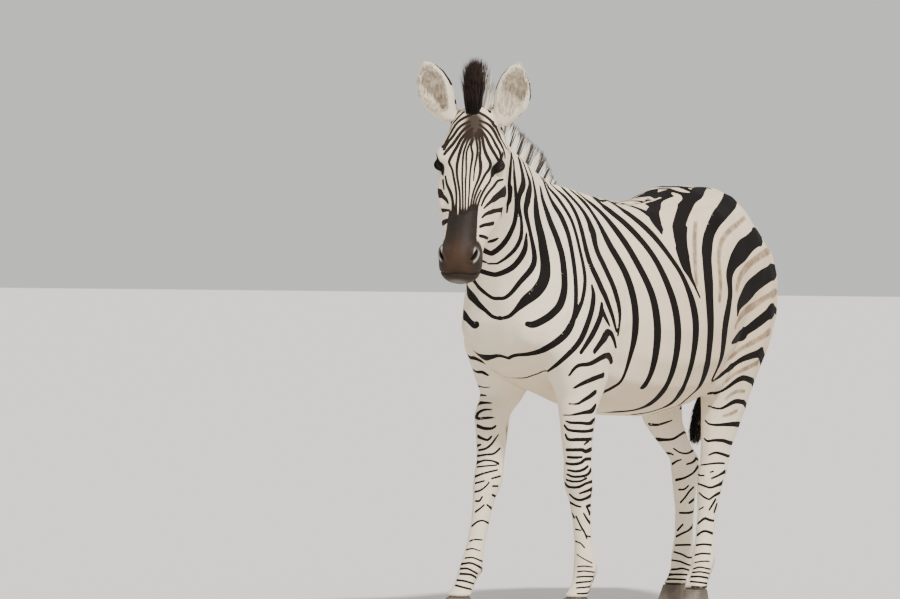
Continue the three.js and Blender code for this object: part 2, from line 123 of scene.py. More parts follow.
def buildRawSkin():
    joined = bmesh.new()
    for name in fleshNodes + eyeNodes:
        part = cleanCopy(name)
        grow = skinValues["grow"]
        if name in eyeNodes:
            grow = -skinValues["eyeShrink"]
        for v in part.verts:
            v.co += v.normal * grow
        mesh = bpy.data.meshes.new("part")
        part.to_mesh(mesh)
        part.free()
        joined.from_mesh(mesh)
        bpy.data.meshes.remove(mesh)
    mesh = bpy.data.meshes.new("skin")
    joined.to_mesh(mesh)
    joined.free()
    skin = bpy.data.objects.new("skin", mesh)
    bpy.context.collection.objects.link(skin)
    remesh = skin.modifiers.new("remesh", "REMESH")
    remesh.mode = "VOXEL"
    remesh.voxel_size = skinValues["voxel"]
    remesh.adaptivity = 0.0
    bpy.context.view_layer.objects.active = skin
    bpy.ops.object.select_all(action="DESELECT")
    skin.select_set(True)
    bpy.ops.object.modifier_apply(modifier="remesh")
    return skin


def positions(mesh):
    out = np.empty(len(mesh.vertices) * 3)
    mesh.vertices.foreach_get("co", out)
    return out.reshape(-1, 3)


def setPositions(mesh, points):
    mesh.vertices.foreach_set("co", points.reshape(-1).astype(np.float32))
    mesh.update()


def edgesOf(mesh):
    out = np.empty(len(mesh.edges) * 2, dtype=np.int64)
    mesh.edges.foreach_get("vertices", out)
    return out.reshape(-1, 2)


def neighbourMean(points, edges, count):
    total = np.zeros_like(points)
    for k in range(points.shape[1]):
        total[:, k] = (np.bincount(edges[:, 0], points[edges[:, 1], k], len(points))
                       + np.bincount(edges[:, 1], points[edges[:, 0], k], len(points)))
    return total / count[:, None]


# Smoothing that keeps the volume; weight is 0 to 1 for each vertex.
def smoothed(points, edges, weight, rounds):
    count = np.bincount(edges.reshape(-1), minlength=len(points)).astype(float)
    count[count == 0] = 1
    pts = points.copy()
    for _ in range(rounds):
        pts = pts + 0.62 * weight[:, None] * (neighbourMean(pts, edges, count) - pts)
        pts = pts - 0.635 * weight[:, None] * (neighbourMean(pts, edges, count) - pts)
    return pts


def softStep(x, low, high):
    t = np.clip((x - low) / (high - low), 0, 1)
    return t * t * (3 - 2 * t)


skin = buildRawSkin()
say("skin joined, %d vertices" % len(skin.data.vertices))


# Cuts the faces whose vertices are all chosen into four.
def subdivideNear(obj, chosen):
    bm = bmesh.new()
    bm.from_mesh(obj.data)
    bm.verts.ensure_lookup_table()
    edges = [e for e in bm.edges if chosen[e.verts[0].index] and chosen[e.verts[1].index]]
    bmesh.ops.subdivide_edges(bm, edges=edges, cuts=1, use_grid_fill=True)
    bm.to_mesh(obj.data)
    bm.free()
    obj.data.update()


points = positions(skin.data)
edges = edgesOf(skin.data)
local = toHead(points)
nearHead = ((local[:, 2] > -0.24) & (local[:, 2] < 0.56) & (np.abs(local[:, 0]) < 0.2)
            & (local[:, 1] > -0.30) & (points[:, 1] < -0.46))
earZone = nearHead & (local[:, 2] < -0.02) & (np.abs(local[:, 0]) > 0.035)
headWeight = softStep(local[:, 2], -0.02, 0.05) * nearHead
legWeight = 1 - softStep(points[:, 2], 0.50, 0.62)
tailZone = (points[:, 1] > 0.68) & (points[:, 2] < 0.98)
trunkZone = ~nearHead & ~tailZone
points = smoothed(points, edges, np.where(earZone, 0.15, 0.75), skinValues["roundsAll"])
points = smoothed(points, edges, np.where(trunkZone, 1 - legWeight, headWeight * 0.5) * (~earZone),
                  skinValues["roundsTrunk"])
points = smoothed(points, edges, np.where(trunkZone, softStep(points[:, 2], 0.56, 0.72), 0.0),
                  skinValues["roundsBarrel"])
setPositions(skin.data, points)
say("skin smoothed")

# Muscles and hollows of the left side, copied to the right: centre, radii and height in metres.
muscles = {
    "shoulderBlade": ((0.150, -0.190, 1.080), (0.10, 0.075, 0.20), 0.010),
    "shoulderPoint": ((0.165, -0.395, 0.870), (0.07, 0.075, 0.10), 0.012),
    "upperArm": ((0.200, -0.250, 0.800), (0.08, 0.11, 0.09), 0.010),
    "elbow": ((0.190, -0.140, 0.720), (0.06, 0.05, 0.06), 0.009),
    "elbowHollow": ((0.230, -0.070, 0.800), (0.08, 0.05, 0.12), -0.010),
    "breast": ((0.085, -0.470, 0.850), (0.07, 0.07, 0.11), 0.012),
    "bladeHollow": ((0.150, -0.300, 1.060), (0.10, 0.05, 0.16), -0.008),
    "backHollow": ((0.170, -0.070, 1.130), (0.10, 0.06, 0.14), -0.006),
    "hipPoint": ((0.190, 0.420, 1.200), (0.08, 0.06, 0.06), 0.010),
    "flankHollow": ((0.240, 0.360, 1.040), (0.08, 0.08, 0.13), -0.012),
    "haunch": ((0.200, 0.600, 1.000), (0.10, 0.11, 0.16), 0.010),
    "stifle": ((0.180, 0.480, 0.740), (0.08, 0.08, 0.09), 0.011),
    "hamGroove": ((0.150, 0.740, 0.900), (0.07, 0.05, 0.18), -0.007),
    "buttock": ((0.080, 0.800, 1.050), (0.08, 0.06, 0.10), 0.009),
    "gaskin": ((0.150, 0.560, 0.600), (0.07, 0.06, 0.08), 0.006),
    "croupSlope": ((0.100, 0.710, 1.200), (0.14, 0.13, 0.10), -0.026),
    "crestSide": ((0.085, -0.470, 1.340), (0.08, 0.16, 0.06), 0.006),
    "neckGroove": ((0.120, -0.440, 1.080), (0.07, 0.10, 0.05), -0.006),
}


def bumped(points, normals, table, fold=True):
    out = points.copy()
    for centre, radii, height in table.values():
        for sign in ((1, -1) if fold else (1,)):
            gap = (points - np.array(centre) * np.array([sign, 1, 1])) / np.array(radii)
            out += normals * (height * np.exp(-(gap ** 2).sum(1)))[:, None]
    return out


def normalsOf(mesh):
    out = np.empty(len(mesh.vertices) * 3)
    mesh.vertices.foreach_get("normal", out)
    return out.reshape(-1, 3)


points = bumped(points, normalsOf(skin.data), muscles)
setPositions(skin.data, points)
legBand = {"low": 0.07, "high": 0.60}  # the thin bands of the legs need a finer skin

subdivideNear(skin, nearHead)
points = positions(skin.data)
subdivideNear(skin, (points[:, 2] < legBand["high"]) & (points[:, 2] > legBand["low"]))
points = positions(skin.data)
local = toHead(points)
finer = (local[:, 2] > -0.3) & (local[:, 1] > -0.32) & (points[:, 1] < -0.44)
points = smoothed(points, edgesOf(skin.data), finer * 0.6, 6)
setPositions(skin.data, points)
say("head divided, %d vertices" % len(skin.data.vertices))

# Eyes, nostrils and mouth, in the head frame.
eyeValues = {"side": 0.083, "forward": -0.042, "down": 0.155, "radius": 0.021, "halfLong": 0.0175,
             "halfHigh": 0.0102}
noseValues = {"side": 0.049, "forward": -0.011, "down": 0.450, "halfLong": 0.018, "halfWide": 0.0062,
              "depth": 0.013}


# Centre, outward, corner and brow directions of an eye, as side, forward and down.
def eyeFrame(sign):
    centre = np.array([sign * eyeValues["side"], eyeValues["forward"], eyeValues["down"]])
    outward = np.array([sign * 0.86, 0.48, -0.10])
    outward /= np.linalg.norm(outward)
    corner = np.array([sign * -0.10, 0.26, 0.95])
    corner -= outward * corner.dot(outward)
    corner /= np.linalg.norm(corner)
    brow = np.cross(corner, outward) * sign
    if brow[1] < 0:
        brow = -brow
    return centre, outward, corner, brow


# Size of the almond through each place (1 on the lid's edge), with its corner and brow parts.
def eyeShape(local, sign):
    centre, outward, corner, brow = eyeFrame(sign)
    gap = local - centre
    along = gap @ corner
    high = gap @ brow
    taper = np.where(high > 0, 1.0, 0.80)
    ratio = (np.abs(along / eyeValues["halfLong"]) ** 1.6
             + np.abs(high / (eyeValues["halfHigh"] * taper)) ** 1.7)
    return ratio ** 0.6, along, high, gap @ outward, gap


def noseFrame(sign):
    centre = np.array([sign * noseValues["side"], noseValues["forward"], noseValues["down"]])
    outward = np.array([sign * 0.66, 0.70, 0.20])
    outward /= np.linalg.norm(outward)
    along = np.array([sign * -0.42, 0.0, 0.9])
    along -= outward * along.dot(outward)
    along /= np.linalg.norm(along)
    return centre, outward, along, np.cross(along, outward)


def toRow(local):
    m = np.array(headToRow)
    flipped = local * np.array([1.0, -1, -1])
    return flipped @ m[:3, :3].T + m[:3, 3]


for radius in (0.052, 0.036):
    local = toHead(positions(skin.data))
    near = np.zeros(len(local), dtype=bool)
    for sign in (-1, 1):
        near |= np.linalg.norm(local - eyeFrame(sign)[0], axis=1) < radius
        near |= np.linalg.norm(local - noseFrame(sign)[0], axis=1) < radius * 0.8
    subdivideNear(skin, near)

local = toHead(positions(skin.data))
subdivideNear(skin, (local[:, 2] > -0.01) & (local[:, 2] < 0.36) & (local[:, 1] > -0.055)
              & (np.abs(local[:, 0]) < 0.085))
local = toHead(positions(skin.data))
subdivideNear(skin, (local[:, 2] > 0.455) & (np.abs(local[:, 0]) < 0.1) & (local[:, 2] < 0.56)
              & (local[:, 1] > -0.16))
local = toHead(positions(skin.data))
edges = edgesOf(skin.data)
for sign in (-1, 1):
    ratio, along, high, out, gap = eyeShape(local, sign)
    centre, outward, corner, brow = eyeFrame(sign)
    near = (np.linalg.norm(gap, axis=1) < 0.060) & (out > -0.012)
    reach = np.maximum(np.linalg.norm(gap, axis=1), 1e-6)
    unit = gap / reach[:, None]
    # Round the eye the skin is a bowl that meets the lids, which lie just over the ball.
    bowl = near & (ratio >= 1)
    lid = eyeValues["radius"] + 0.0026 + 0.0012 * (high > 0)
    hold = np.exp(-((ratio - 1) / 0.75) ** 2) * bowl
    local += unit * ((lid - reach) * hold)[:, None]
    inner = near & (ratio < 1)
    sink = eyeValues["radius"] - 0.0035
    edge = softStep(ratio, 0.86, 1.0)
    local += unit * (((sink * (1 - edge) + lid * edge) - reach) * inner)[:, None]
    # Creases over and under the eye, and the bone of the brow.
    for level, depth in ((1.75, -0.0016), (2.2, 0.0016)):
        local += outward * (near * depth * np.exp(-((ratio - level) / 0.16) ** 2)
                            * np.where(high > 0, 1.0, 0.55))[:, None]
    browGap = (gap - brow * 0.026 + corner * 0.004) / np.array([0.030, 0.030, 0.034])
    local += outward * (0.0045 * np.exp(-(browGap ** 2).sum(1)))[:, None]

    centre, outward, lengthways, across = noseFrame(sign)
    gap = local - centre
    x = gap @ lengthways / noseValues["halfLong"]
    bend = 0.28 * (1 - x ** 2)
    y = gap @ across / noseValues["halfWide"] + sign * bend
    ratio = np.sqrt(x ** 2 + y ** 2)
    near = np.linalg.norm(gap, axis=1) < 0.045
    local -= outward * (near * noseValues["depth"] * (1 - softStep(ratio, 0.55, 1.15)))[:, None]
    local += outward * (near * 0.0030 * np.exp(-((ratio - 1.45) / 0.35) ** 2))[:, None]

# The flat of each cheek: side and size of the swelling, in metres.
cheekValues = {"down": 0.215, "forward": -0.070, "long": 0.062, "high": 0.055, "left": 0.003, "right": 0.011}
cheek = np.exp(-((local[:, 2] - cheekValues["down"]) / cheekValues["long"]) ** 2
               - ((local[:, 1] - cheekValues["forward"]) / cheekValues["high"]) ** 2)
cheek = cheek * softStep(np.abs(local[:, 0]), 0.035, 0.065)
cheekSwell = np.where(local[:, 0] > 0, cheekValues["left"], -cheekValues["right"])
local[:, 0] += cheek * cheekSwell * (np.abs(local[:, 0]) < 0.16)

mouthLine = {"front": 0.5065, "start": -0.030, "slope": 0.62, "end": -0.112, "depth": 0.0045, "half": 0.0035}
back = np.clip(-(local[:, 1] - mouthLine["start"]), 0, 1)
level = mouthLine["front"] - back * mouthLine["slope"]
groove = (np.exp(-((local[:, 2] - level) / mouthLine["half"]) ** 2) * (local[:, 1] > mouthLine["end"])
          * (local[:, 2] > 0.40) * softStep(local[:, 1], mouthLine["end"], mouthLine["end"] + 0.015))
points = toRow(local)
setPositions(skin.data, points)
points = points - normalsOf(skin.data) * (mouthLine["depth"] * groove)[:, None]
away = np.minimum(np.linalg.norm(local - eyeFrame(1)[0], axis=1),
                  np.linalg.norm(local - eyeFrame(-1)[0], axis=1))
nose = np.minimum(np.linalg.norm(local - noseFrame(1)[0], axis=1),
                  np.linalg.norm(local - noseFrame(-1)[0], axis=1))
points = smoothed(points, edges, ((away < 0.05) | (nose < 0.04) | (groove > 0.05)) * 0.5, 3)
setPositions(skin.data, points)
say("face shaped, %d vertices" % len(skin.data.vertices))

skin.data.polygons.foreach_set("use_smooth", [True] * len(skin.data.polygons))

# Stripes: each is a smooth line through a few places (x, y, half width) of the camera's frame, 900 wide,
# laid on what the camera sees there.
neckStripes = {
    "A": [(485, 255, 2), (493, 252, 2.4), (501, 245.5, 2.4), (508, 236, 2.3), (514, 222, 2),
          (516, 206, 1.7), (515, 188, 1.2), (513, 160, 0.8)],
    "B": [(497, 263, 0.8), (506, 257, 1.4), (515, 248, 1.8), (520.5, 236, 1.7), (521, 221, 1.2),
          (518.5, 204, 1.3), (520, 192, 2), (523, 180, 2.5), (518.5, 157, 1.2)],
    "C": [(480, 271.5, 1.6), (489, 274.5, 2), (501, 272.5, 2.4), (514, 265, 2.6), (524, 250, 2.5),
          (526, 233, 0.7)],
    "D": [(477, 284, 1), (486, 294, 1.4), (500, 298, 1.5), (509, 294, 1.8), (520, 281, 2.3),
          (531, 268, 2.7), (534, 256, 2.3), (530, 233, 1.5), (525.5, 211, 2), (527.5, 197, 2.6),
          (529.5, 183, 1.7), (523, 162, 0.8)],
    "E": [(501, 318, 1.4), (509, 315.5, 1.7), (516, 309, 2.4), (525, 300, 4.6), (536, 291, 5.4),
          (543, 280, 5.5), (545, 266, 4.8), (542, 241, 3.9), (536.5, 217, 2.9), (535, 194, 1.5),
          (532, 177, 0.8)],
    "F": [(527, 323.5, 2.4), (533, 324, 3.2), (543, 319.5, 3.4), (552, 313, 3.5), (560, 303, 3.5),
          (564, 285, 2.9), (562, 258, 2.7), (557, 240, 2.6), (548, 216, 2.2), (542.5, 200, 1.5),
          (540, 187, 0.9)],
    "chestRight": [(501, 318, 1.2), (491, 309, 1), (480, 298, 1.6), (470, 286, 1.8)],
    "G": [(505, 359.5, 1.5), (514, 355, 1.3), (528, 353.5, 1.7), (541, 350, 2.5), (556, 341.5, 3.2),
          (568, 329.5, 3.2), (574.5, 311, 1.9), (575, 279, 1.8), (569.5, 241, 1.8), (562, 219, 2.1),
          (551, 200, 1.5), (545, 186, 0.8)],
    "G2": [(575.5, 316, 1.5), (582, 299, 1.6), (584.5, 277, 1.5), (579.5, 250, 1.2), (571.5, 221, 1.2),
          (559, 200, 1.2), (548, 187, 0.8)],
    "H": [(547, 371, 0.8), (561, 360, 2), (579, 341, 2.4), (589.5, 316, 2.2), (593, 297, 2),
          (591.5, 285, 0.8)],
    "I": [(580.5, 352, 1.5), (592, 334, 2.1), (600, 316, 2.1), (601.5, 304, 1.2)],
    "IDown": [(602, 310, 1.6), (605, 317, 1.1), (609, 325, 0.7)],
    "J": [(594, 351, 1.6), (601, 341.5, 2.1), (608.5, 331.5, 2.1), (613, 338, 1.4), (615.5, 347, 0.8)],
    "K": [(568.5, 375, 0.8), (577, 365.5, 1.5), (590, 363, 1.8), (606, 355, 2), (611, 361.5, 1.3)],
    "L": [(573, 388, 0.8), (580, 384, 1.5), (591, 379, 1.9), (603, 374.5, 1.7)],
}
flankStripes = {
    "S1": [(616, 331, 0.7), (610.5, 311, 1.7), (599, 283, 2.2), (588.5, 259, 2.1), (578.5, 221, 1.5),
          (567.5, 200, 1.1), (551, 184.5, 0.7)],
    "S2": [(617.5, 335, 0.6), (619.3, 320, 1), (619, 309, 1.6), (616.5, 297, 2), (611, 281, 2.1),
          (597, 251, 2.1), (591.5, 229, 2.3), (581.5, 209, 1.2), (559, 184, 0.8)],
    "S3": [(597, 394, 0.9), (611, 387.5, 1.1), (621.5, 379, 1), (629, 358, 1.7), (634.5, 332, 3),
          (634, 304, 3.1), (625.5, 274, 2.9), (609, 244, 2.6), (596, 219, 1.3), (583, 201, 1.2),
          (566, 186, 0.8)],
    "S4": [(598, 404.5, 0.9), (618, 401, 1.2), (639, 390, 1.9), (650, 374, 2.1), (656, 348, 3.2),
          (656.5, 320, 3.4), (650, 290, 3), (633, 256, 2.7), (618, 233, 2.5), (600, 211.5, 1.5),
          (573, 188.5, 0.8)],
    "S5": [(606, 412, 0.7), (636, 409, 1.2), (655, 399, 1.6), (669, 379, 2), (676.5, 349, 2.9),
          (676.5, 319, 3.2), (669, 289, 2.9), (653, 256, 2.4), (630, 228, 2.4), (610, 211, 2),
          (593, 197, 1)],
    "S6": [(620, 415.5, 0.7), (651, 411, 0.9), (674, 400, 1.3), (688, 374, 1.7), (695, 338, 2.8),
          (693.5, 309, 3), (684, 280, 2), (670, 257, 1.9), (648, 230, 2.3), (622, 209, 1.6),
          (600, 195.5, 0.9)],
    "S7": [(699.5, 297, 0.5), (693, 283, 0.8), (687, 271, 0.7)],
    "S8": [(696, 289, 0.6), (689.5, 275, 2), (684.5, 262, 4.6), (680, 240, 5.4), (680.5, 221, 6.6),
          (690, 200, 8.8), (705, 186, 7)],
    "S9": [(689, 396, 0.7), (699.5, 385, 1.3), (706.5, 365, 2.2), (710, 330, 2.9), (708.5, 288, 3.8),
          (706.5, 248, 4.2), (712, 226, 5.4), (728, 203, 8)],
    "S10": [(712, 378.5, 0.8), (721, 357, 1.6), (725, 325, 2.6), (729.5, 295, 2), (729.5, 271, 3.2),
          (741, 250.5, 6.4), (764, 230, 6.4)],
    "S11": [(737, 314, 0.7), (739.5, 303, 2.3), (750, 288, 5), (762, 277.5, 5.3), (777, 268, 5.2)],
    "S12": [(731.5, 342, 0.6), (740, 334.5, 2.8), (757, 322, 3.9), (774, 308.5, 3.5)],
    "S13": [(712, 381, 0.8), (726, 370, 1.3), (741, 359, 2.1), (760, 352, 3)],
    "S14": [(708, 393, 0.7), (721, 390.5, 1), (737, 379.5, 1.9), (744, 377.5, 2.5), (752, 380.5, 2.8)],
    "S15": [(708, 405.5, 0.7), (720, 408, 0.9), (734, 401, 1.8), (743, 401.5, 2.2)],
    "ridge": [(600, 200.5, 0.8), (626, 197, 1.1), (652, 187.5, 1.4), (677, 182.5, 1.6), (704, 185, 3)],
    "wedge": [(661, 233, 0.6), (655, 217, 4.8), (656, 204, 6.2), (668, 193.5, 7), (682, 188, 7)],
    "combOne": [(653, 217, 2), (640, 209, 1.8), (622, 203, 1.2), (607, 200.5, 0.8)],
    "combTwo": [(656, 208, 2), (642, 201.5, 1.3), (627, 199.5, 0.9)],
    "combThree": [(664, 201, 2), (655, 196.5, 1.4), (640, 195.5, 0.8)],
}
paleStripes = {
    "paleRidge": [(610, 200.5, .5), (624, 198.3, .8), (638, 194.5, 1), (652, 190.5, 1.2), (666, 186, 1.3),
          (678, 182.8, 1.2), (689, 182.6, .8)],
    "paleTooth": [(676, 184.8, .8), (684, 185.6, .9), (694, 186.6, .5)],
    "paleToothTwo": [(672, 187.6, .9), (680, 190, 1.2), (688.5, 191.8, .6)],
    "paleToothThree": [(644, 194.6, .8), (650, 197.5, 1), (654.5, 199.8, .5)],
    "paleFront": [(672, 192.5, .8), (678, 196.5, 2.6), (672.5, 200.5, 3.2), (666, 205, 3.4),
          (663.5, 212, 3.6), (665.5, 222, 3.6), (668.5, 233, 3.4), (672, 244, 2.6)],
    "paleS8": [(707.5, 188.5, 1), (712, 191.5, 4.5), (707, 199, 5.4), (700, 208, 5), (693, 217, 4.6),
          (690, 226, 4.5)],
}
shadeStripes = {
    "shadeOne": [(695, 222, 1.2), (694, 240, 1.3), (694.5, 262, 1.3), (696, 284, 1)],
    "shadeTwo": [(744, 217, 1.4), (735, 225, 1.8), (727, 232, 2), (721, 241, 1.8), (718.3, 255, 1.3),
          (719, 270, 1.1), (720, 284, 1.2), (719, 300, 1)],
    "shadeThree": [(770, 249, 2), (761, 254.5, 2.2), (752, 261, 2.2), (745, 268, 1.8), (739, 278, 1.4),
          (736, 289, 1)],
    "shadeFour": [(776, 291, 1.8), (765, 297, 2), (755, 303.5, 2), (745, 310.5, 1.7), (738, 319, 1.2),
          (735, 326, 1)],
    "shadeFive": [(769, 331, 1.4), (759, 338, 1.6), (748, 344, 1.6), (738, 350, 1.2), (728, 358, .8)],
    "shadeSix": [(757, 362, 1.2), (746, 367.5, 1.3), (735, 373, 1.1), (726, 380, .7)],
    "shadeSeven": [(725.4, 398.2, .7), (730.4, 394, 1), (736.2, 390.9, 1.2), (744, 390.7, 1.1)],
    "shadeEight": [(722.9, 415.6, .7), (729.5, 413.5, .9), (736.2, 410.2, .9)],
}
# Dark lines along the jaw: painted shade in the crease between jaw and neck, partly a real stripe.
jawStripesAndShade = {
    "jawEdge": [(511, 152, .7), (510.5, 162, 1.2), (509.4, 175, 1.5), (508.4, 190, 1.6), (507.6, 200, 1.4),
          (506.4, 212, .8)],
    "jawLine": [(501.5, 208.5, .9), (500.4, 217, .9), (498.8, 224.2, .9), (495.9, 231.2, 1),
          (491.8, 235.6, 1), (487.4, 238.4, 1)],
    "jawUnder": [(487.5, 241.5, 1), (491, 240.6, 1.6), (494.5, 239.4, 1.5), (498, 237.4, .7)],
}
faceStripes = {
    "browEdge": [(460.9, 108.9, .9), (455.2, 114.5, .9), (450.3, 121.6, .9), (446.8, 129.3, .9),
          (442.6, 137.7, .9), (438.4, 145.4, .9), (437.2, 150, .8)],
    "browTwo": [(463, 111.7, .7), (456.6, 118, .8), (451.7, 124.4, .8), (448.9, 130.7, .8),
          (444, 138.4, .8), (439.4, 145, .7)],
    "browThree": [(470, 114.5, 1.4), (463.7, 117.3, 1.3), (457.3, 121.6, 1.1), (453.1, 127.2, 1.1),
          (450.3, 132.1, 1.1), (445.4, 140.5, 1), (442, 146.5, .9)],
    "browFour": [(469.3, 121.2, .9), (463, 123.7, 1.2), (457.3, 128.6, 1.3), (452.4, 135.6, 1.3),
          (446.8, 142.6, 1.3), (443.3, 149, 1.2)],
    "browFive": [(469.3, 125, 1.2), (463, 129.3, 1.4), (458, 135.6, 1.5), (453.1, 142.6, 1.5),
          (447.8, 148.7, 1.5), (443.8, 153.6, 1.3)],
    "lozengeLeft": [(471.4, 128.4, 1.4), (465, 133.5, 1.5), (460.2, 139.1, 1.5), (456.6, 146.1, 1.5),
          (452.4, 153.1, 1.5), (448.9, 160.1, 1.4), (449, 163.4, 1.2), (451.7, 169.2, 1.1),
          (453.4, 178, 1.1), (455.2, 187.4, 1.1), (455.9, 197.5, 1), (455.2, 213, 1)],
    "two": [(471.4, 132, 1.2), (466.5, 136.3, 1.4), (462.3, 143.3, 1.5), (459.3, 151.7, 1.5),
          (457.3, 160.1, 1.4), (456.3, 167.1, 1.3), (456.6, 175.6, 1.1), (458, 184, 1.1), (459.2, 193, 1),
          (459.5, 203, 1), (459.4, 215, 1)],
    "three": [(472, 134.9, .9), (467.9, 139.1, 1), (465, 146.1, 1), (463, 153.1, 1), (462.1, 163.6, .9),
          (461.7, 174.1, .9), (461.9, 184.7, .9), (462.3, 199.4, .8), (462.2, 217, .8)],
    "four": [(472, 137.7, .8), (468.6, 144.7, .9), (466.1, 151.7, .9), (465.7, 160, .9), (465.7, 170.6, .8),
          (465, 181.2, .8), (465, 192, .7), (464.8, 204, .7), (464.8, 219, .7)],
    "five": [(472.5, 139.1, 1), (470.7, 146.1, 1), (472, 153.1, 1.2), (471.4, 160.1, 1.1), (470.1, 168, .9),
          (469.3, 178, .8), (468.8, 190, .7), (467.8, 204, .7), (466.9, 219, .7)],
    "six": [(474.9, 133.5, 1.1), (476.3, 141.9, 1.1), (477, 149.6, 1.1), (476.3, 156.6, 1),
          (474.9, 163.6, .9), (473.8, 170.6, .7), (473.1, 180, .5)],
    "seven": [(477, 132, 1.2), (479.1, 140.5, 1.2), (479.8, 149.6, 1.1), (479.3, 156.6, 1.3),
          (480.1, 163.6, 1.7), (479.9, 170.6, 1.5), (478.2, 177.7, 1.2), (475.4, 184.7, 1),
          (472.8, 192, .9), (470.9, 201, .8), (469.4, 212, .8), (469, 219, .8)],
    "lozengeRight": [(478.4, 129.3, 1.4), (481.9, 137.7, 1.5), (483.3, 146.1, 1.5), (485.4, 153.1, 1.6),
          (488.2, 158.7, 1.6), (490, 163.6, 1.5), (488.7, 168.5, 1.4), (484.7, 174.1, 1.3),
          (481.3, 180.5, 1.2), (478, 187, 1.1), (475, 194, 1), (472.9, 203, .8), (471.8, 216, .8)],
    "browSix": [(480.5, 129.3, 1.3), (485.4, 136.3, 1.5), (488.6, 143.3, 1.6), (492, 149.6, 1.6),
          (495.4, 155.2, 1.5), (497.6, 159, 1.4)],
    "browSeven": [(479.5, 124.4, 1), (486.1, 129.8, 1.2), (491, 136, 1.2), (495, 143.3, 1.2),
          (499.2, 150.3, 1.1), (500.8, 156.5, 1)],
    "browEight": [(479.6, 120, 1), (487.4, 123.7, 1.3), (493, 129.5, 1.5), (497, 137.5, 1.3),
          (501.2, 145, 1), (503.8, 151, .8), (504.6, 156.6, .8)],
    "browNine": [(478.4, 112, 1.2), (485.4, 115.9, 1.3), (491.7, 121.6, 1.3), (496.6, 129.3, 1.1),
          (500.4, 137.7, .9), (503.8, 144, .8), (507, 149.6, .8)],
    "browTen": [(484, 106.1, 1), (489.6, 111, 1.1), (494.5, 116.6, 1.1), (499, 123.7, 1.1),
          (503.4, 132.1, 1.1), (506.6, 140.5, 1.1)],
    "eyeLineLeft": [(444.9, 176, .8), (446.5, 184, 1.1), (450, 192, 1.4), (452, 200, 1.3),
          (452.8, 213, 1.2)],
    "cheekTick": [(442.4, 180, .9), (443.4, 188.5, .7)],
    "eyeLineRight": [(495.2, 165.5, .8), (491.9, 172.7, .8), (489.4, 180.5, 1), (485.2, 186.8, 1.1),
          (481.7, 193.1, 1.1), (479, 199.4, 1), (477, 207, .9), (476.2, 215, .9)],
    "eyeLineRightTwo": [(502.8, 179, .9), (497.3, 180.5, 1.1), (493.1, 186, 1.2), (488.2, 191.7, 1.2),
          (484, 198, 1.1), (481, 205, .8)],
    "noseInner": [(480.4, 189.6, .7), (477.2, 196, .8), (475.2, 203, .8), (474.2, 214, .8)],
    "cheekOne": [(504.5, 190.6, 2.6), (499.5, 193.8, 2.5), (494, 198.2, 2), (488.5, 202.8, 1.4),
          (483.4, 207.8, .7)],
    "cheekTwo": [(501.5, 209.2, 1.8), (495.1, 210.2, 1.8), (490.2, 211.6, 1.7), (485.3, 213.7, 1.4),
          (481.5, 217, .8)],
    "cheekThree": [(492.9, 222.8, 1.7), (488.1, 223.8, 1.7), (483.2, 224.6, 1.6), (479.6, 226.2, 1.4)],
    "cheekFour": [(487.4, 238, 1.2), (483.2, 236.1, 1.5), (479.2, 235.4, 1.4)],
    "cheekOneFar": [(435.8, 190.5, 3.2), (440.6, 194.2, 2.4), (445.3, 198.6, 1.5), (447.8, 202.8, .7)],
    "cheekTwoFar": [(437.6, 210, 2.2), (443.2, 209.8, 1.7), (448.3, 209.8, 1)],
    "cheekThreeFar": [(439.8, 223.8, 1.5), (444.6, 221.4, 1.5), (448.6, 219.2, 1.3)],
}
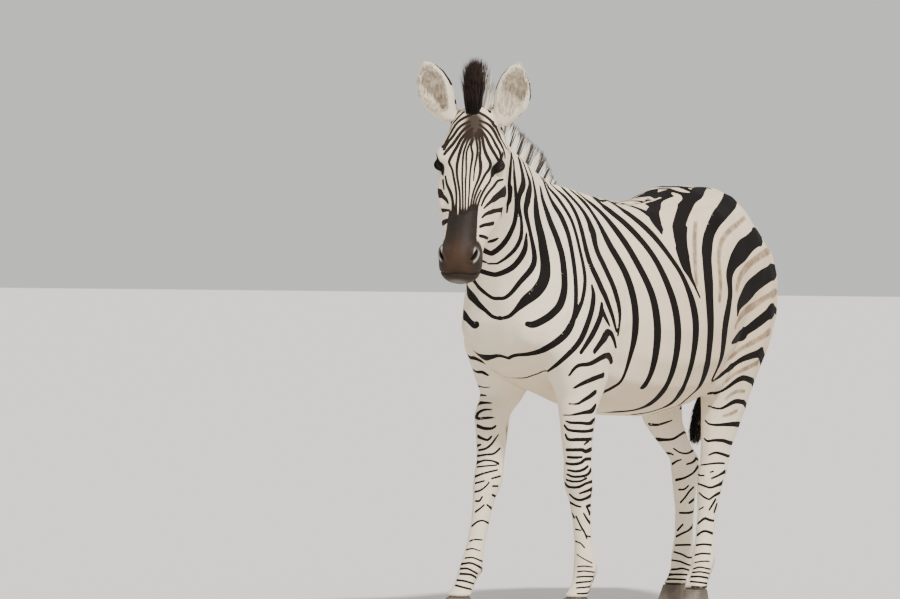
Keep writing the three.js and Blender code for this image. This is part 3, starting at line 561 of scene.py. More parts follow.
legStripes = {
    "foreRight": [
        [(473.4, 395.4, 1.5), (478.9, 394.4, 1.2), (485.6, 395.1, .6)],
        [(474.1, 404, 1.5), (480.8, 402.5, 1.2), (491.4, 402.5, .6)],
        [(475.6, 415.9, 1.3), (478, 412.1, 1.2), (483.7, 409.4, 1), (491.4, 409, .6)],
        [(477.4, 418.3, 1.3), (486.6, 417.5, 1.2), (495.2, 416.6, .5)],
        [(477, 425.5, 1.6), (483.7, 427.9, 1.5), (491.4, 427.9, 1.2), (495.2, 425.5, .8)],
        [(477.6, 436, 1.4), (482.7, 438.4, 1.2), (487.5, 439.4, 1.1), (490.9, 436, .8)],
        [(477, 445.4, 1.2), (480.4, 444.1, .8)],
        [(478, 449.9, 1), (485.6, 448, 1), (491.4, 443.2, .9), (495.2, 437.9, .7), (498, 434.1, .4)],
        [(476.5, 455.6, 1), (485.6, 454.2, .9), (493.3, 453.2, .9), (499.5, 448, .8)],
        [(476.5, 462.3, 1), (484.7, 459.9, .8), (493.3, 460.9, .8), (498, 463.3, 1.2)],
        [(476.5, 466.6, .7), (484.7, 465.7, .7), (496.1, 464.7, .6)],
        [(474.8, 476.2, .9), (483.7, 472.8, .9), (497.1, 469.5, .7)],
        [(491.4, 478.1, .8), (500, 475.7, .8)],
        [(474.8, 482.9, .8), (483.7, 480.5, .7)],
        [(474.4, 491.5, .9), (479.9, 490, .8), (485.6, 485.7, .7), (488.5, 481.9, .6)],
        [(492.3, 485.7, .9), (497.6, 485.7, .9)],
        [(475.1, 500.6, .9), (478.9, 500.6, .9), (481.8, 496.3, .7)],
        [(475, 511.1, .9), (479.9, 507.7, .8), (483.7, 504.4, .7)],
        [(492, 494.4, 1.1), (495, 496, 1.1)],
        [(486.6, 504.4, .8), (491, 507.9, .9)],
        [(471.6, 524, .8), (477, 520.2, .8), (482.7, 519.2, .7), (488, 521.6, .7)],
        [(469.4, 537.4, .7), (474.1, 536, .7), (481.8, 536.4, .6)],
        [(465.8, 545, .6), (472, 544, .6), (480, 546, .4)],
        [(464.6, 552.2, .7), (472.2, 551.8, .7), (481.8, 555.1, .6)],
        [(460.9, 557.5, .9), (469.4, 556.5, .9), (477, 558.9, .9), (482.7, 562.3, .9)],
        [(459.8, 561.6, .9), (467.4, 561.6, .9), (477, 566.1, .9)],
        [(459.5, 566.1, 1), (470.3, 566.9, 1), (478, 570.9, .9)],
        [(456.5, 571.8, .9), (464.6, 572.8, .9), (475, 575.7, .8)],
        [(455, 576.6, .9), (465.5, 579.2, .9), (474, 581, .7)],
    ],
    "foreLeft": [
        [(567.9, 403.5, .7), (576.5, 403.5, 1), (583.2, 399.7, 1.5), (589.9, 395.4, 1.8),
         (594.9, 391.4, 1.7)],
        [(563.1, 414.5, .6), (573.6, 414, 1), (583.2, 412.1, 1.6), (591, 410.4, 2), (594.9, 405.4, 1.1)],
        [(565, 420.2, .6), (569.8, 422.1, 1.2), (579.4, 422.4, 1.4), (589.9, 422.6, 1.5), (595.6, 415.9, 1)],
        [(564.1, 425, .9), (567.9, 429.3, 1.2), (577.5, 430.7, 1.4), (587, 430.7, 1.4), (593.9, 428.8, 1.2)],
        [(565, 434.1, .8), (567.9, 438.9, 1.3), (577.5, 439.1, 1.7), (587, 438.9, 1.6), (593, 438.2, 1.4)],
        [(588, 440.8, .8), (584.1, 443.7, .8)],
        [(566.4, 449.4, 1.5), (575.5, 449.4, 1.6), (582.2, 449.4, 1.7), (585.1, 451, 1.8),
         (591.3, 448.4, 1.7)],
        [(567.2, 456.6, 1.1), (574.6, 457.1, 1.3), (581.3, 456.6, 1)],
        [(565.5, 462.8, 1.1), (572.7, 463.8, 1.3), (580.3, 462.3, 1.4), (585.1, 458.7, 1.5),
         (591, 458.5, 1.6)],
        [(567.2, 469.5, .9), (575.5, 470.9, 1.2), (583.2, 469, 1.3), (587.5, 465.7, 1)],
        [(566.5, 473.8, .8), (572.7, 476.2, 1.1), (582.2, 475.7, 1.2), (588, 473.3, 1.1), (590.4, 469.3, .9)],
        [(566, 479.3, .8), (572, 481, 1), (580, 480.6, 1), (586, 477.8, .9)],
        [(563.9, 481.9, .8), (567.9, 486.2, 1), (577.5, 486.7, 1.3), (585.1, 483.2, 1.2), (591.4, 481, 1.1)],
        [(579.4, 492.9, .8), (585.1, 491, 1.1), (591.4, 488.6, 1.1)],
        [(569.3, 493.9, .7), (573.6, 497.7, 1), (579.4, 499.6, 1.2), (587, 497.2, 1.2), (593, 492.9, 1)],
        [(569.8, 502, .7), (575.5, 505.1, .9), (580.3, 506.3, .8)],
        [(586.1, 505.8, 1.1), (592, 503.9, 1.5)],
        [(563.6, 487, .6), (566.4, 497, .7), (569, 506.8, .7), (573.6, 516.4, .7)],
        [(575.8, 515.4, .7), (580.3, 524, .8), (584.1, 529.7, .8), (586.5, 535, .7)],
        [(583.2, 512.5, .7), (587, 518.3, .9), (589.4, 521.1, .9)],
        [(586.5, 506.8, .7), (589.4, 512.5, .9)],
        [(575, 526.9, .7), (580.3, 527.8, .6)],
        [(585.6, 532.6, .6), (590.2, 533.6, .7)],
        [(575, 537.4, .6), (580.3, 539.3, .6), (584.1, 543.1, .6)],
        [(576.5, 548.9, .5), (583.2, 552.7, .5), (591.8, 556.5, .5)],
        [(577, 559.6, .5), (584, 559.2, .6), (592, 560, .5)],
        [(577, 564.2, .6), (584, 563.6, .6), (594, 564.6, .6)],
        [(576.6, 569, .7), (584, 568.4, .7), (595, 568.6, .7)],
        [(576, 574.2, .8), (584, 573.4, .8), (595.4, 572.6, .7)],
        [(576.4, 579, .7), (584, 578.4, .7), (595, 577.2, .7)],
        [(577, 584.4, .7), (585, 584.2, .8), (594, 582.6, .7)],
    ],
    "hindLeft": [
        [(704.7, 419.8, .6), (708, 423.1, .8), (714.6, 424.3, 1.1), (724.6, 423.9, 1.6), (732.8, 423.5, 2.2),
         (739, 423.7, 2.6)],
        [(703.8, 438, .6), (707.1, 440.5, 1), (713.8, 439.7, 1.3), (722.9, 440.1, 1.7), (728.7, 442.1, 1.9),
         (733.4, 442.8, 2)],
        [(708, 454.6, .6), (714.6, 452.1, 1), (721.2, 453.3, 1.3), (727.6, 455.6, 1.3)],
        [(700.5, 464.5, .6), (709.6, 463.3, .8), (717.9, 462.5, .9), (724, 462.9, .9)],
        [(710, 471.6, .7), (712.9, 470.7, .7)],
        [(695.9, 472.8, .6), (699.7, 474.9, .7), (703.8, 474.9, .6)],
        [(711.3, 477.8, .8), (717.9, 474.9, .9), (724.4, 471, 1)],
        [(695.9, 482.5, .7), (703, 485, .9), (709.6, 487, 1), (716.3, 485, 1.1), (725, 481, 1.3)],
        [(698.8, 492.4, .6), (703.8, 496.6, .8), (708.8, 498.7, .8), (712.9, 495.8, .9), (717.9, 492.9, 1.2),
         (723.4, 490.6, 1.3)],
        [(708.8, 509.4, .7), (712.1, 504, .9), (715, 499.1, .8)],
        [(713.8, 511.5, .7), (716.4, 503.9, .8)],
        [(698.8, 509, .6), (703, 506.5, .6)],
        [(697.4, 523.1, .7), (701.3, 519.8, 1), (704.7, 517.7, 1.2), (708.8, 519.4, 1.2),
         (713.4, 520.2, 1.1)],
        [(696.8, 534.7, .8), (701.3, 531.4, 1), (705.5, 530.6, 1.1), (712, 532.9, 1.2)],
        [(696, 544.7, .9), (703, 543.7, .9), (711, 544.5, 1)],
        [(694.7, 554.6, .8), (701.3, 553, .8), (710, 553.4, .8)],
        [(694.3, 562.1, .6), (701.3, 560.8, .6), (709, 560.8, .6)],
        [(693, 568.3, .7), (699.7, 566.7, .7), (710, 568.7, .7)],
        [(692, 572, .7), (700, 571.4, .7), (711, 573.4, .7)],
        [(690.6, 576.2, .9), (700, 576.2, .9), (712, 578.4, .9)],
        [(690, 580.9, .8), (700, 582, .8), (710.4, 583.6, .8)],
        [(691, 586.3, .8), (700, 586.5, .8), (710.6, 587, .7)],
    ],
    "hindRight": [
        [(649.3, 423.9, 1.3), (656.6, 424.3, 1.1), (663.2, 422.7, .9), (671.5, 419.8, .5)],
        [(655.5, 438.8, 1.6), (664.9, 439.2, 1.3), (672.3, 438.4, 1.1), (678.9, 434.7, .9),
         (684.8, 430.5, .8),
         (688.1, 427.2, .6)],
        [(673.1, 447.9, .6), (678.9, 451.7, .7), (684.8, 452.9, .8), (689.7, 451.7, .8), (694.3, 447.5, .6)],
        [(664.5, 452.5, .9), (669.8, 452.9, .8), (672.3, 454.2, .6)],
        [(671.8, 463.5, 1), (676.5, 460.4, .8), (680.6, 459.1, .6)],
        [(686.4, 463.7, .8), (692.2, 461.6, .9), (696.4, 457.1, .9)],
        [(675.6, 479.5, 1.3), (684.8, 477, .9), (693, 472, .8), (697.2, 466.2, .7)],
        [(678.4, 489.1, .9), (683.9, 488.7, .8), (688.1, 485, .6)],
        [(680, 502, .8), (684.8, 496.6, .8), (688.9, 490.8, .8), (693, 486.6, .7)],
        [(688.9, 502.4, .9), (694.7, 497.8, .9)],
        [(679.2, 512.3, .9), (688.1, 512.3, 1), (693, 510.7, .9), (696.4, 507.4, .8)],
        [(677.1, 529.8, .9), (682.3, 523.9, .8)],
        [(675.9, 536, .9), (681.4, 533.1, .9), (688.1, 529.8, .8), (693.9, 523.9, .8)],
        [(675, 544.7, .9), (684.8, 544.3, .9), (690.3, 544.3, .8)],
        [(673.4, 551.3, .8), (681.4, 553.8, .8), (688.1, 557.1, .8), (693, 556.3, .6)],
        [(671, 559.6, .7), (678.9, 560.8, .8), (686.4, 563.7, .8), (691.4, 565.4, .7)],
        [(669.2, 569.1, .9), (676.5, 568.7, .9), (681.4, 567.9, .8), (688.6, 569.6, .8)],
        [(668.6, 574.3, 1), (676.5, 573.9, .9), (688.5, 574.3, .8)],
        [(667, 578.7, .8), (676.5, 578.8, .8), (687, 579.3, .7)],
        [(665.5, 583.2, .8), (675, 583.3, .8), (684, 583.8, .7)],
    ],
}
# What each place of the skin belongs to.
nodeTrees = {}
for name in fleshNodes:
    part = cleanCopy(name)
    bmesh.ops.triangulate(part, faces=part.faces)
    nodeTrees[name] = BVHTree.FromBMesh(part)
    part.free()


# Index into fleshNodes of the CAD node nearest to each point.
def labelled(points):
    label = np.full(len(points), fleshNodes.index("trunk"))
    best = np.full(len(points), 9.0)
    for index, name in enumerate(fleshNodes):
        lo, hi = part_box(name)
        margin = 0.02
        inside = np.all((points > np.array(lo) - margin) & (points < np.array(hi) + margin), axis=1)
        tree = nodeTrees[name]
        for k in np.nonzero(inside)[0]:
            found = tree.find_nearest(points[k])
            if found[3] < best[k]:
                best[k] = found[3]
                label[k] = index
    return label


points = positions(skin.data)
normals = normalsOf(skin.data)
label = labelled(points)
isNode = {name: label == index for index, name in enumerate(fleshNodes)}
say("skin labelled")

# Middle of the body along the neck. u runs up the neck and v across it, from throat to crest.
# Rows hold u, v, the x of the middle and the turn in degrees.
neckAxis = {"u": (-0.700, 0.714), "v": (0.714, 0.700), "from": (-0.300, 1.050)}
crestLine = [(0.096, 0.734, 0.018, 0), (0.227, 0.680, 0.015, 2), (0.334, 0.631, 0.012, 8),
             (0.465, 0.578, 0.034, 15),
             (0.595, 0.523, 0.072, 21), (0.695, 0.474, 0.106, 25), (0.733, 0.444, 0.122, 25)]
throatLine = [(-0.039, 0.175, 0.030, 0), (0.118, 0.186, 0.038, 2), (0.218, 0.242, 0.032, 8),
              (0.315, 0.297, 0.032, 15),
              (0.401, 0.343, 0.046, 21), (0.485, 0.377, 0.062, 25), (0.558, 0.380, 0.084, 25)]


# Distance from the bent middle of the body, left positive, and the direction to the left.
def sideOf(points):
    y = points[:, 1] - bodyShift.y
    z = points[:, 2]
    u = neckAxis["u"][0] * (y - neckAxis["from"][0]) + neckAxis["u"][1] * (z - neckAxis["from"][1])
    v = neckAxis["v"][0] * y + neckAxis["v"][1] * z
    crest = [np.interp(u, [c[0] for c in crestLine], [c[k] for c in crestLine]) for k in (1, 2, 3)]
    throat = [np.interp(u, [c[0] for c in throatLine], [c[k] for c in throatLine]) for k in (1, 2, 3)]
    share = np.clip((v - throat[0]) / np.maximum(crest[0] - throat[0], 0.05), 0, 1)
    middle = throat[1] + (crest[1] - throat[1]) * share
    turn = np.radians(throat[2] + (crest[2] - throat[2]) * share)
    base = softStep(y, -0.50, -0.26)
    middle = middle * (1 - base)
    turn = turn * (1 - base)
    direction = np.stack([np.cos(turn), np.sin(turn), np.zeros(len(turn))], 1)
    return (points[:, 0] - middle) * np.cos(turn), direction


# Stripes laid on the skin.
# Smooth line through the points, one row each of x, y and half width.
def curve(points, spacing):
    pts = np.array(points, dtype=float)
    if len(pts) < 3:
        pts = np.array([pts[0] + (pts[-1] - pts[0]) * t for t in (0, 0.5, 1)])
    ends = np.vstack([2 * pts[0] - pts[1], pts, 2 * pts[-1] - pts[-2]])
    out = []
    for i in range(len(pts) - 1):
        a, b, c, d = ends[i:i + 4]
        steps = max(2, int(np.hypot(*(c - b)[:2]) / spacing))
        for t in np.arange(steps) / steps:
            out.append(0.5 * (2 * b + (c - a) * t + (2 * a - 5 * b + 4 * c - d) * t * t
                              + (3 * b - a - 3 * c + d) * t ** 3))
    out.append(pts[-1])
    return np.array(out)


# Surface made of the faces whose corners are all chosen.
def treeOf(chosen):
    polygons = [tuple(p.vertices) for p in skin.data.polygons]
    kept = [p for p in polygons if all(chosen[v] for v in p)]
    return BVHTree.FromPolygons([tuple(p) for p in points], kept)


# Where the camera's ray through a place meets the surface, or the nearest place to it.
def hitOn(tree, x, y, last):
    ray = pixelRay(x, y)
    found = tree.ray_cast(eyePoint, ray)
    if found[0] is not None and (last is None or (found[0] - last).length < 0.12):
        return found[0], True
    if last is None:
        return None, False
    depth = (last - eyePoint).dot(-toward)
    near = eyePoint + ray * (depth / ray.dot(-toward))
    return tree.find_nearest(near)[0], False


# The stripe as rows of x, y, z and half width in metres.
def laid(tree, path, swell):
    line = curve(path, 1.6) + (0.5, 0.5, swell)
    slope = np.gradient(line[:, :2], axis=0)
    slope /= np.maximum(np.linalg.norm(slope, axis=1), 1e-9)[:, None]
    first = next((k for k in range(len(line)) if hitOn(tree, *line[k, :2], None)[1]), None)
    if first is None:
        return None
    rows = [None] * len(line)
    order = list(range(first, len(line))) + list(range(first - 1, -1, -1))
    last = None
    for k in order:
        if k == first - 1:
            last = rows[first][0]
        x, y, half = line[k]
        spot, direct = hitOn(tree, x, y, last)
        plain = half / cameraPlace["perMetre"]
        if direct:
            one = hitOn(tree, x - slope[k, 1] * half, y + slope[k, 0] * half, spot)
            two = hitOn(tree, x + slope[k, 1] * half, y - slope[k, 0] * half, spot)
            if one[1] and two[1]:
                plain = min(max((one[0] - two[0]).length / 2, plain), plain * 2.2)
        rows[k] = (spot, plain)
        last = spot
    out = np.array([(*spot, width) for spot, width in rows])
    width = out[:, 3].copy()
    out[1:-1, 3] = (width[:-2] + width[1:-1] * 2 + width[2:]) / 4
    return out


# Half width less the distance, for places near the line, others left at -reach.
def inked(line, where, normal, reach=0.02):
    ink = np.full(len(where), -reach)
    margin = line[:, 3].max() + reach
    lo = line[:, :3].min(0) - margin - 0.03
    hi = line[:, :3].max(0) + margin + 0.03
    near = np.nonzero(np.all((where > lo) & (where < hi), axis=1))[0]
    if not len(near):
        return ink
    whole = np.linalg.norm(line[1:, :3] - line[:-1, :3], axis=1) < 0.045
    if not whole.any():
        return ink
    a = line[:-1][whole]
    b = line[1:][whole]
    span = b[:, :3] - a[:, :3]
    size = np.maximum((span ** 2).sum(1), 1e-12)
    for block in np.array_split(near, max(1, len(near) * len(a) // 1500000 + 1)):
        p = where[block]
        n = normal[block]
        rel = p[:, None, :] - a[None, :, :3]
        t = np.clip(np.einsum("nsk,sk->ns", rel, span) / size, 0, 1)
        gap = rel - t[:, :, None] * span[None]
        lift = np.einsum("nsk,nk->ns", gap, n)
        dist = np.sqrt(np.maximum((gap ** 2).sum(2) - np.minimum(np.abs(lift), 0.05) ** 2, 0))
        half = a[None, :, 3] + t * (b[:, 3] - a[:, 3])[None]
        ink[block] = np.maximum(ink[block], (half - dist).max(1))
    return ink


bodyPart = ~(isNode["head"] | isNode["ear_left"] | isNode["ear_right"])
bodyTree = treeOf(bodyPart)
headTree = treeOf(isNode["head"])
say("surfaces for the stripes ready")


# Rows from a stripe's tip through the targets, each (place, share of the half width), on the surface.
def walked(tree, start, targets):
    rows = []
    here = Vector(start[:3])
    share = 1.0
    for target, nextShare in targets:
        steps = max(2, int((target - here).length / 0.012))
        for k in range(1, steps + 1):
            t = k / steps
            spot = tree.find_nearest(here.lerp(target, t))[0]
            rows.append((*spot, start[3] * (share + (nextShare - share) * t)))
        here = target
        share = nextShare
    return np.array(rows)


# How much each rump stripe falls, in metres, as it runs on over the croup.
rumpFalls = {"S10": 0.01, "S11": 0.0, "S12": -0.02, "S13": -0.03, "S14": -0.03, "S15": -0.02}


# Carries a stripe over the middle of the back, chest and belly, and round the buttocks.
def addEnds(name, line, tree):
    tip = line[-1]
    away, direction = sideOf(tip[None, :3])
    if name == "F":
        return line
    if name in rumpFalls or name.startswith("shade") and tip[1] > 0.72:
        x, y, z = tip[:3]
        fall = rumpFalls.get(name, -0.01)
        line = np.vstack([line, walked(tree, tip, [
            (Vector((x * 0.82, y + 0.05, z + fall)), 1.0),
            (Vector((x * 0.50, y + 0.09, z + fall * 2)), 0.9),
            (Vector((x * 0.22, y + 0.10, z + fall * 3)), 0.5)])])
    elif name == "S9":
        x, y, z = tip[:3]
        line = np.vstack([line, walked(tree, tip, [
            (Vector((x * 0.78, y + 0.045, z + 0.010)), 1.0),
            (Vector((x * 0.50, y + 0.090, z + 0.005)), 0.85),
            (Vector((x * 0.22, y + 0.130, z - 0.015)), 0.45)])])
    elif -0.03 < away[0] < 0.09:
        over = Vector(tip[:3] - direction[0] * (away[0] + 0.015))
        line = np.vstack([line, walked(tree, tip, [(over, 1.0)])])
    tip = line[0]
    away, direction = sideOf(tip[None, :3])
    if name in ("S3", "S4", "S5", "S6", "S9"):
        reach = {"S3": 0.55}.get(name, 0.0)
        x, y, z = tip[:3]
        line = np.vstack([walked(tree, tip, [
            (Vector((x * 0.72, y - 0.012, z - 0.08)), 0.9),
            (Vector((x * 0.45, y - 0.03, z - 0.12)), 0.7),
            (Vector((x * max(0.2, reach), y - 0.04, z - 0.12)), 0.5),
            (Vector((x * reach, y - 0.044, z - 0.12)), 0.3)])[::-1], line])
    elif -0.03 < away[0] < 0.09 and tip[1] < 0.2:
        over = Vector(tip[:3] - direction[0] * (away[0] + 0.015))
        line = np.vstack([walked(tree, tip, [(over, 1.0)])[::-1], line])
    return line


away, sideDirection = sideOf(points)
mirror = (away < 0)[:, None]
foldedPoints = np.where(mirror, points - 2 * away[:, None] * sideDirection, points)
turnedNormals = normals - 2 * np.einsum("nk,nk->n", normals, sideDirection)[:, None] * sideDirection
foldedNormals = np.where(mirror, turnedNormals, normals)


def linesOf(group, tree, swell, ends=False):
    lines = []
    for name, path in group.items():
        line = laid(tree, path, swell)
        if line is None:
            print("no surface under stripe", name)
            continue
        if ends:
            line = addEnds(name, line, tree)
        lines.append(line)
    return lines


def combined(lines, where, normal):
    ink = np.full(len(where), -0.02)
    for line in lines:
        ink = np.maximum(ink, inked(line, where, normal))
    return ink


# What is added to each half width, in the frame's own unit.
swell = {"body": 0.35, "pale": -0.1, "shade": 0.3, "face": 0.15, "leg": 0.2}
bodyLines = linesOf({**neckStripes, **flankStripes}, bodyTree, swell["body"], True)
bodyInk = combined(bodyLines, foldedPoints, foldedNormals)
paleInk = combined(linesOf(paleStripes, bodyTree, swell["pale"], True), foldedPoints, foldedNormals)
bodyInk = np.minimum(bodyInk, -paleInk)
shadeInk = combined(linesOf(shadeStripes, bodyTree, swell["shade"], True), foldedPoints, foldedNormals)
say("body stripes laid")

# The face: what the camera sees, and its mirror image where it can't see.
local = toHead(points)
facing = np.einsum("nk,k->n", normals, np.array(toward))
faceLines = linesOf(faceStripes, headTree, swell["face"])
faceInk = combined(faceLines, points, normals)
flipped = local * np.array([-1.0, 1, 1])
backToRow = np.array(headToRow)
mirrored = (flipped * np.array([1, -1, -1])) @ backToRow[:3, :3].T + backToRow[:3, 3]
normalLocal = normals @ np.array(rowToHead)[:3, :3].T
normalFlipped = (normalLocal * np.array([-1.0, 1, 1])) @ backToRow[:3, :3].T
faceInkFar = combined(faceLines, mirrored, normalFlipped)
hidden = softStep(-facing, -0.12, 0.10)
faceInk = np.where(hidden > 0.5, np.maximum(faceInk, faceInkFar), faceInk)
# The jaw's lines are painted shade in the crease along the back and lower edge of the jaw, partly a real
# stripe. They cross from head to neck, so they lie on the whole skin.
jawLines = linesOf(jawStripesAndShade, treeOf(np.ones(len(points), dtype=bool)), swell["face"])
jawInkAndShade = np.maximum(combined(jawLines, points, normals), combined(jawLines, mirrored, normalFlipped))
say("face stripes laid")

# Legs: bands as seen, carried round to the far side of each leg.
legNames = {"foreRight": "leg_fore_right", "foreLeft": "leg_fore_left",
            "hindLeft": "leg_hind_left", "hindRight": "leg_hind_right"}
legTop = {"foreRight": 0.700, "foreLeft": 0.700, "hindLeft": 0.612, "hindRight": 0.612}
foreDrop = {"rows": 9, "from": 500, "to": 590}  # level ground sets the fore feet lower
legInk = np.full(len(points), -0.02)
legZone = np.zeros(len(points))
for group, nodeName in legNames.items():
    lo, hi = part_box(nodeName)
    own = isNode[nodeName] | ((points[:, 2] < legTop[group]) & isNode["trunk"]
                              & np.all((points[:, :2] > np.array(lo)[:2] - 0.05)
                                       & (points[:, :2] < np.array(hi)[:2] + 0.05), axis=1))
    own &= points[:, 2] < legTop[group]
    tree = treeOf(own)
    heights = np.arange(0.06, legTop[group] + 0.03, 0.02)
    centres = []
    for z in heights:
        slab = own & (np.abs(points[:, 2] - z) < 0.012)
        if slab.any():
            centres.append((points[slab, :2].min(0) + points[slab, :2].max(0)) / 2)
        else:
            centres.append(centres[-1])
    centres = np.array(centres)
    where = points[own]
    normal = normals[own]
    middle = np.stack([np.interp(where[:, 2], heights, centres[:, k]) for k in (0, 1)], 1)
    depth = (where[:, :2] - middle) @ np.array(toward)[:2]
    behind = depth < 0
    where = where.copy()
    normal = normal.copy()
    where[behind, :2] -= 2 * depth[behind, None] * np.array(toward)[None, :2]
    turned = normal[behind] @ np.array(toward)
    normal[behind] -= 2 * turned[:, None] * np.array(toward)[None]
    ink = np.full(len(where), -0.02)
    for path in legStripes[group]:
        drop = foreDrop["rows"] * (group[:4] == "fore")
        line = laid(tree, [(x, y + drop * softStep(y, foreDrop["from"], foreDrop["to"]), half)
                           for x, y, half in path], swell["leg"])
        if line is not None:
            ink = np.maximum(ink, inked(line, where, normal))
    legInk[own] = ink
    legZone[own] = 1
say("leg bands laid")

mark = bodyInk.copy()
mark[legZone > 0] = legInk[legZone > 0]
isHead = ~bodyPart
mark[isHead] = faceInk[isHead]
# The jaw's lines, partly painted shade, join the dark marks of the head and neck.
mark = np.where(isHead | isNode["neck"], np.maximum(mark, jawInkAndShade), mark)


def store(obj, name, values):
    layer = obj.data.attributes.get(name) or obj.data.attributes.new(name, "FLOAT", "POINT")
    layer.data.foreach_set("value", np.asarray(values, dtype=np.float32))


local = toHead(points)
side, forward, down = np.abs(local[:, 0]), local[:, 1], local[:, 2]

# Dark muzzle: its upper edge runs in a notch over the nose, and further back down the sides.
muzzleValues = {"edge": 0.327, "notch": 0.019, "flare": 0.070, "slope": 0.55}
muzzleEdge = (muzzleValues["edge"]
              - muzzleValues["notch"] * softStep(side, 0.004, 0.034) * (1 - softStep(side, 0.043, 0.050))
              + muzzleValues["flare"] * softStep(side, 0.043, 0.050)
              + muzzleValues["slope"] * np.clip(-forward - 0.035, 0, 0.10))
muzzle = softStep(down, muzzleEdge - 0.006, muzzleEdge + 0.006) * isHead
mark = mark + 0.0016 * isHead * softStep(down, muzzleEdge - 0.030, muzzleEdge) * (side < 0.045)
rust = (np.exp(-((side / 0.040) ** 2 + ((down - 0.452) / 0.050) ** 2)) * softStep(forward, -0.07, -0.03)
        + 0.6 * np.exp(-((side - 0.030) / 0.022) ** 2 - ((down - 0.490) / 0.022) ** 2)) * isHead
chin = np.exp(-((down - 0.530) / 0.007) ** 2) * isHead * (forward > -0.13)
rims = np.zeros(len(points))
hollow = np.zeros(len(points))
lids = np.zeros(len(points))
lidPale = np.zeros(len(points))
for sign in (-1, 1):
    centre, outward, lengthways, across = noseFrame(sign)
    gap = local - centre
    x = gap @ lengthways / noseValues["halfLong"]
    y = gap @ across / noseValues["halfWide"] + sign * 0.28 * (1 - x ** 2)
    ratio = np.sqrt(x ** 2 + y ** 2)
    near = np.linalg.norm(gap, axis=1) < 0.05
    # Painted shade: the inside of each nostril is coloured darker than the muzzle.
    hollow = np.maximum(hollow, near * (1 - softStep(ratio, 0.7, 1.15)))
    outer = softStep(gap[:, 0] * sign, -0.003, 0.004)
    rims = np.maximum(rims, near * outer * np.exp(-((ratio - 1.80) / 0.50) ** 2) * softStep(x, -1.6, -0.6))
    ratio, along, high, out, gap = eyeShape(local, sign)
    near = (np.linalg.norm(gap, axis=1) < 0.07) & (out > -0.012)
    # Dark skin round the eye, reaching much further above it: the wider part above is painted shade under the
    # brow.
    upper = softStep(high, -0.004, 0.006)
    lids = np.maximum(lids, near * (1 - softStep(ratio, 1.45 + 1.05 * upper, 1.75 + 1.2 * upper)))
    lidPale = np.maximum(lidPale, near * (1 - upper) * np.exp(-((ratio - 1.95) / 0.28) ** 2))
whorlValues = {"side": 0.008, "down": 0.048, "halfWide": 0.034, "halfHigh": 0.056}
whorlReach = np.hypot((local[:, 0] - whorlValues["side"]) / whorlValues["halfWide"],
                      (down - whorlValues["down"]) / whorlValues["halfHigh"])
whorl = (1 - softStep(whorlReach, 0.60, 1.25)) * isHead * softStep(forward, -0.12, -0.07)
tone = isHead * (1 - 0.6 * softStep(side, 0.07, 0.10)) * (1 - softStep(down, 0.30, 0.36))

# Ears: the inside is pale grey, and the back has a dark band below its white tip.
earValues = {"turn": 8.0, "tilt": {1: 18.0, -1: 23.0}, "lean": 8.0, "length": 0.190, "half": 0.055,
             "side": 0.076, "forward": -0.048, "down": 0.012, "stagger": 0.004}


def earMatrix(sign):
    root = onHead(sign * earValues["side"], earValues["forward"],
                  earValues["down"] + sign * earValues["stagger"])
    turn = headPlace["turn"] + sign * earValues["turn"]
    return (Matrix.Translation(root) @ Matrix.Rotation(math.radians(turn), 4, "Z")
            @ Matrix.Rotation(math.radians(sign * earValues["tilt"][sign]), 4, "Y")
            @ Matrix.Rotation(math.radians(earValues["lean"]), 4, "X"))


earStations = [(0, 0.4, 0.42, 0), (0.14, 0.64, 0.54, 0.1), (0.34, 0.94, 0.62, 0.2), (0.54, 1, 0.54, 0.18),
               (0.74, 0.82, 0.38, 0.1), (0.9, 0.48, 0.22, 0.02), (1, 0.1, 0.08, 0)]


# Share along the ear, how far out in its leaf (1 on the outer skin), and the front part.
def earPlace(where, sign):
    m = np.array(earMatrix(sign).inverted())
    p = where @ m[:3, :3].T + m[:3, 3]
    share = np.clip(p[:, 2] / earValues["length"], 0, 1)
    knots = [r[0] for r in earStations]
    half = np.interp(share, knots, [r[1] for r in earStations]) * earValues["half"]
    deep = np.interp(share, knots, [r[2] for r in earStations]) * earValues["half"]
    out = np.interp(share, knots, [r[3] for r in earStations]) * earValues["half"] * sign
    bow = 0.014 * np.sin(np.pi * share)
    x = (p[:, 0] - out) / np.maximum(half, 0.004)
    y = (p[:, 1] - bow) / np.maximum(deep, 0.004)
    return share, np.hypot(x, y), y


earInside = np.zeros(len(points))
earShare = np.zeros(len(points))
earBack = np.zeros(len(points))
for sign, name in ((1, "ear_left"), (-1, "ear_right")):
    own = isNode[name]
    share, radius, front = earPlace(points[own], sign)
    earInside[own] = (1 - softStep(radius, 0.92, 1.00)) * softStep(share, 0.06, 0.2)
    earShare[own] = share
    earBack[own] = softStep(radius, 0.88, 0.98) * softStep(front, -0.55, -0.10)
earBand = earBack * (softStep(earShare, 0.44, 0.52) * (1 - softStep(earShare, 0.88, 0.94))
                     + 0.7 * softStep(earShare, 0.16, 0.2) * (1 - softStep(earShare, 0.24, 0.30)))
mark = np.where(isNode["ear_left"] | isNode["ear_right"], (earBand - 0.5) * 0.012, mark)

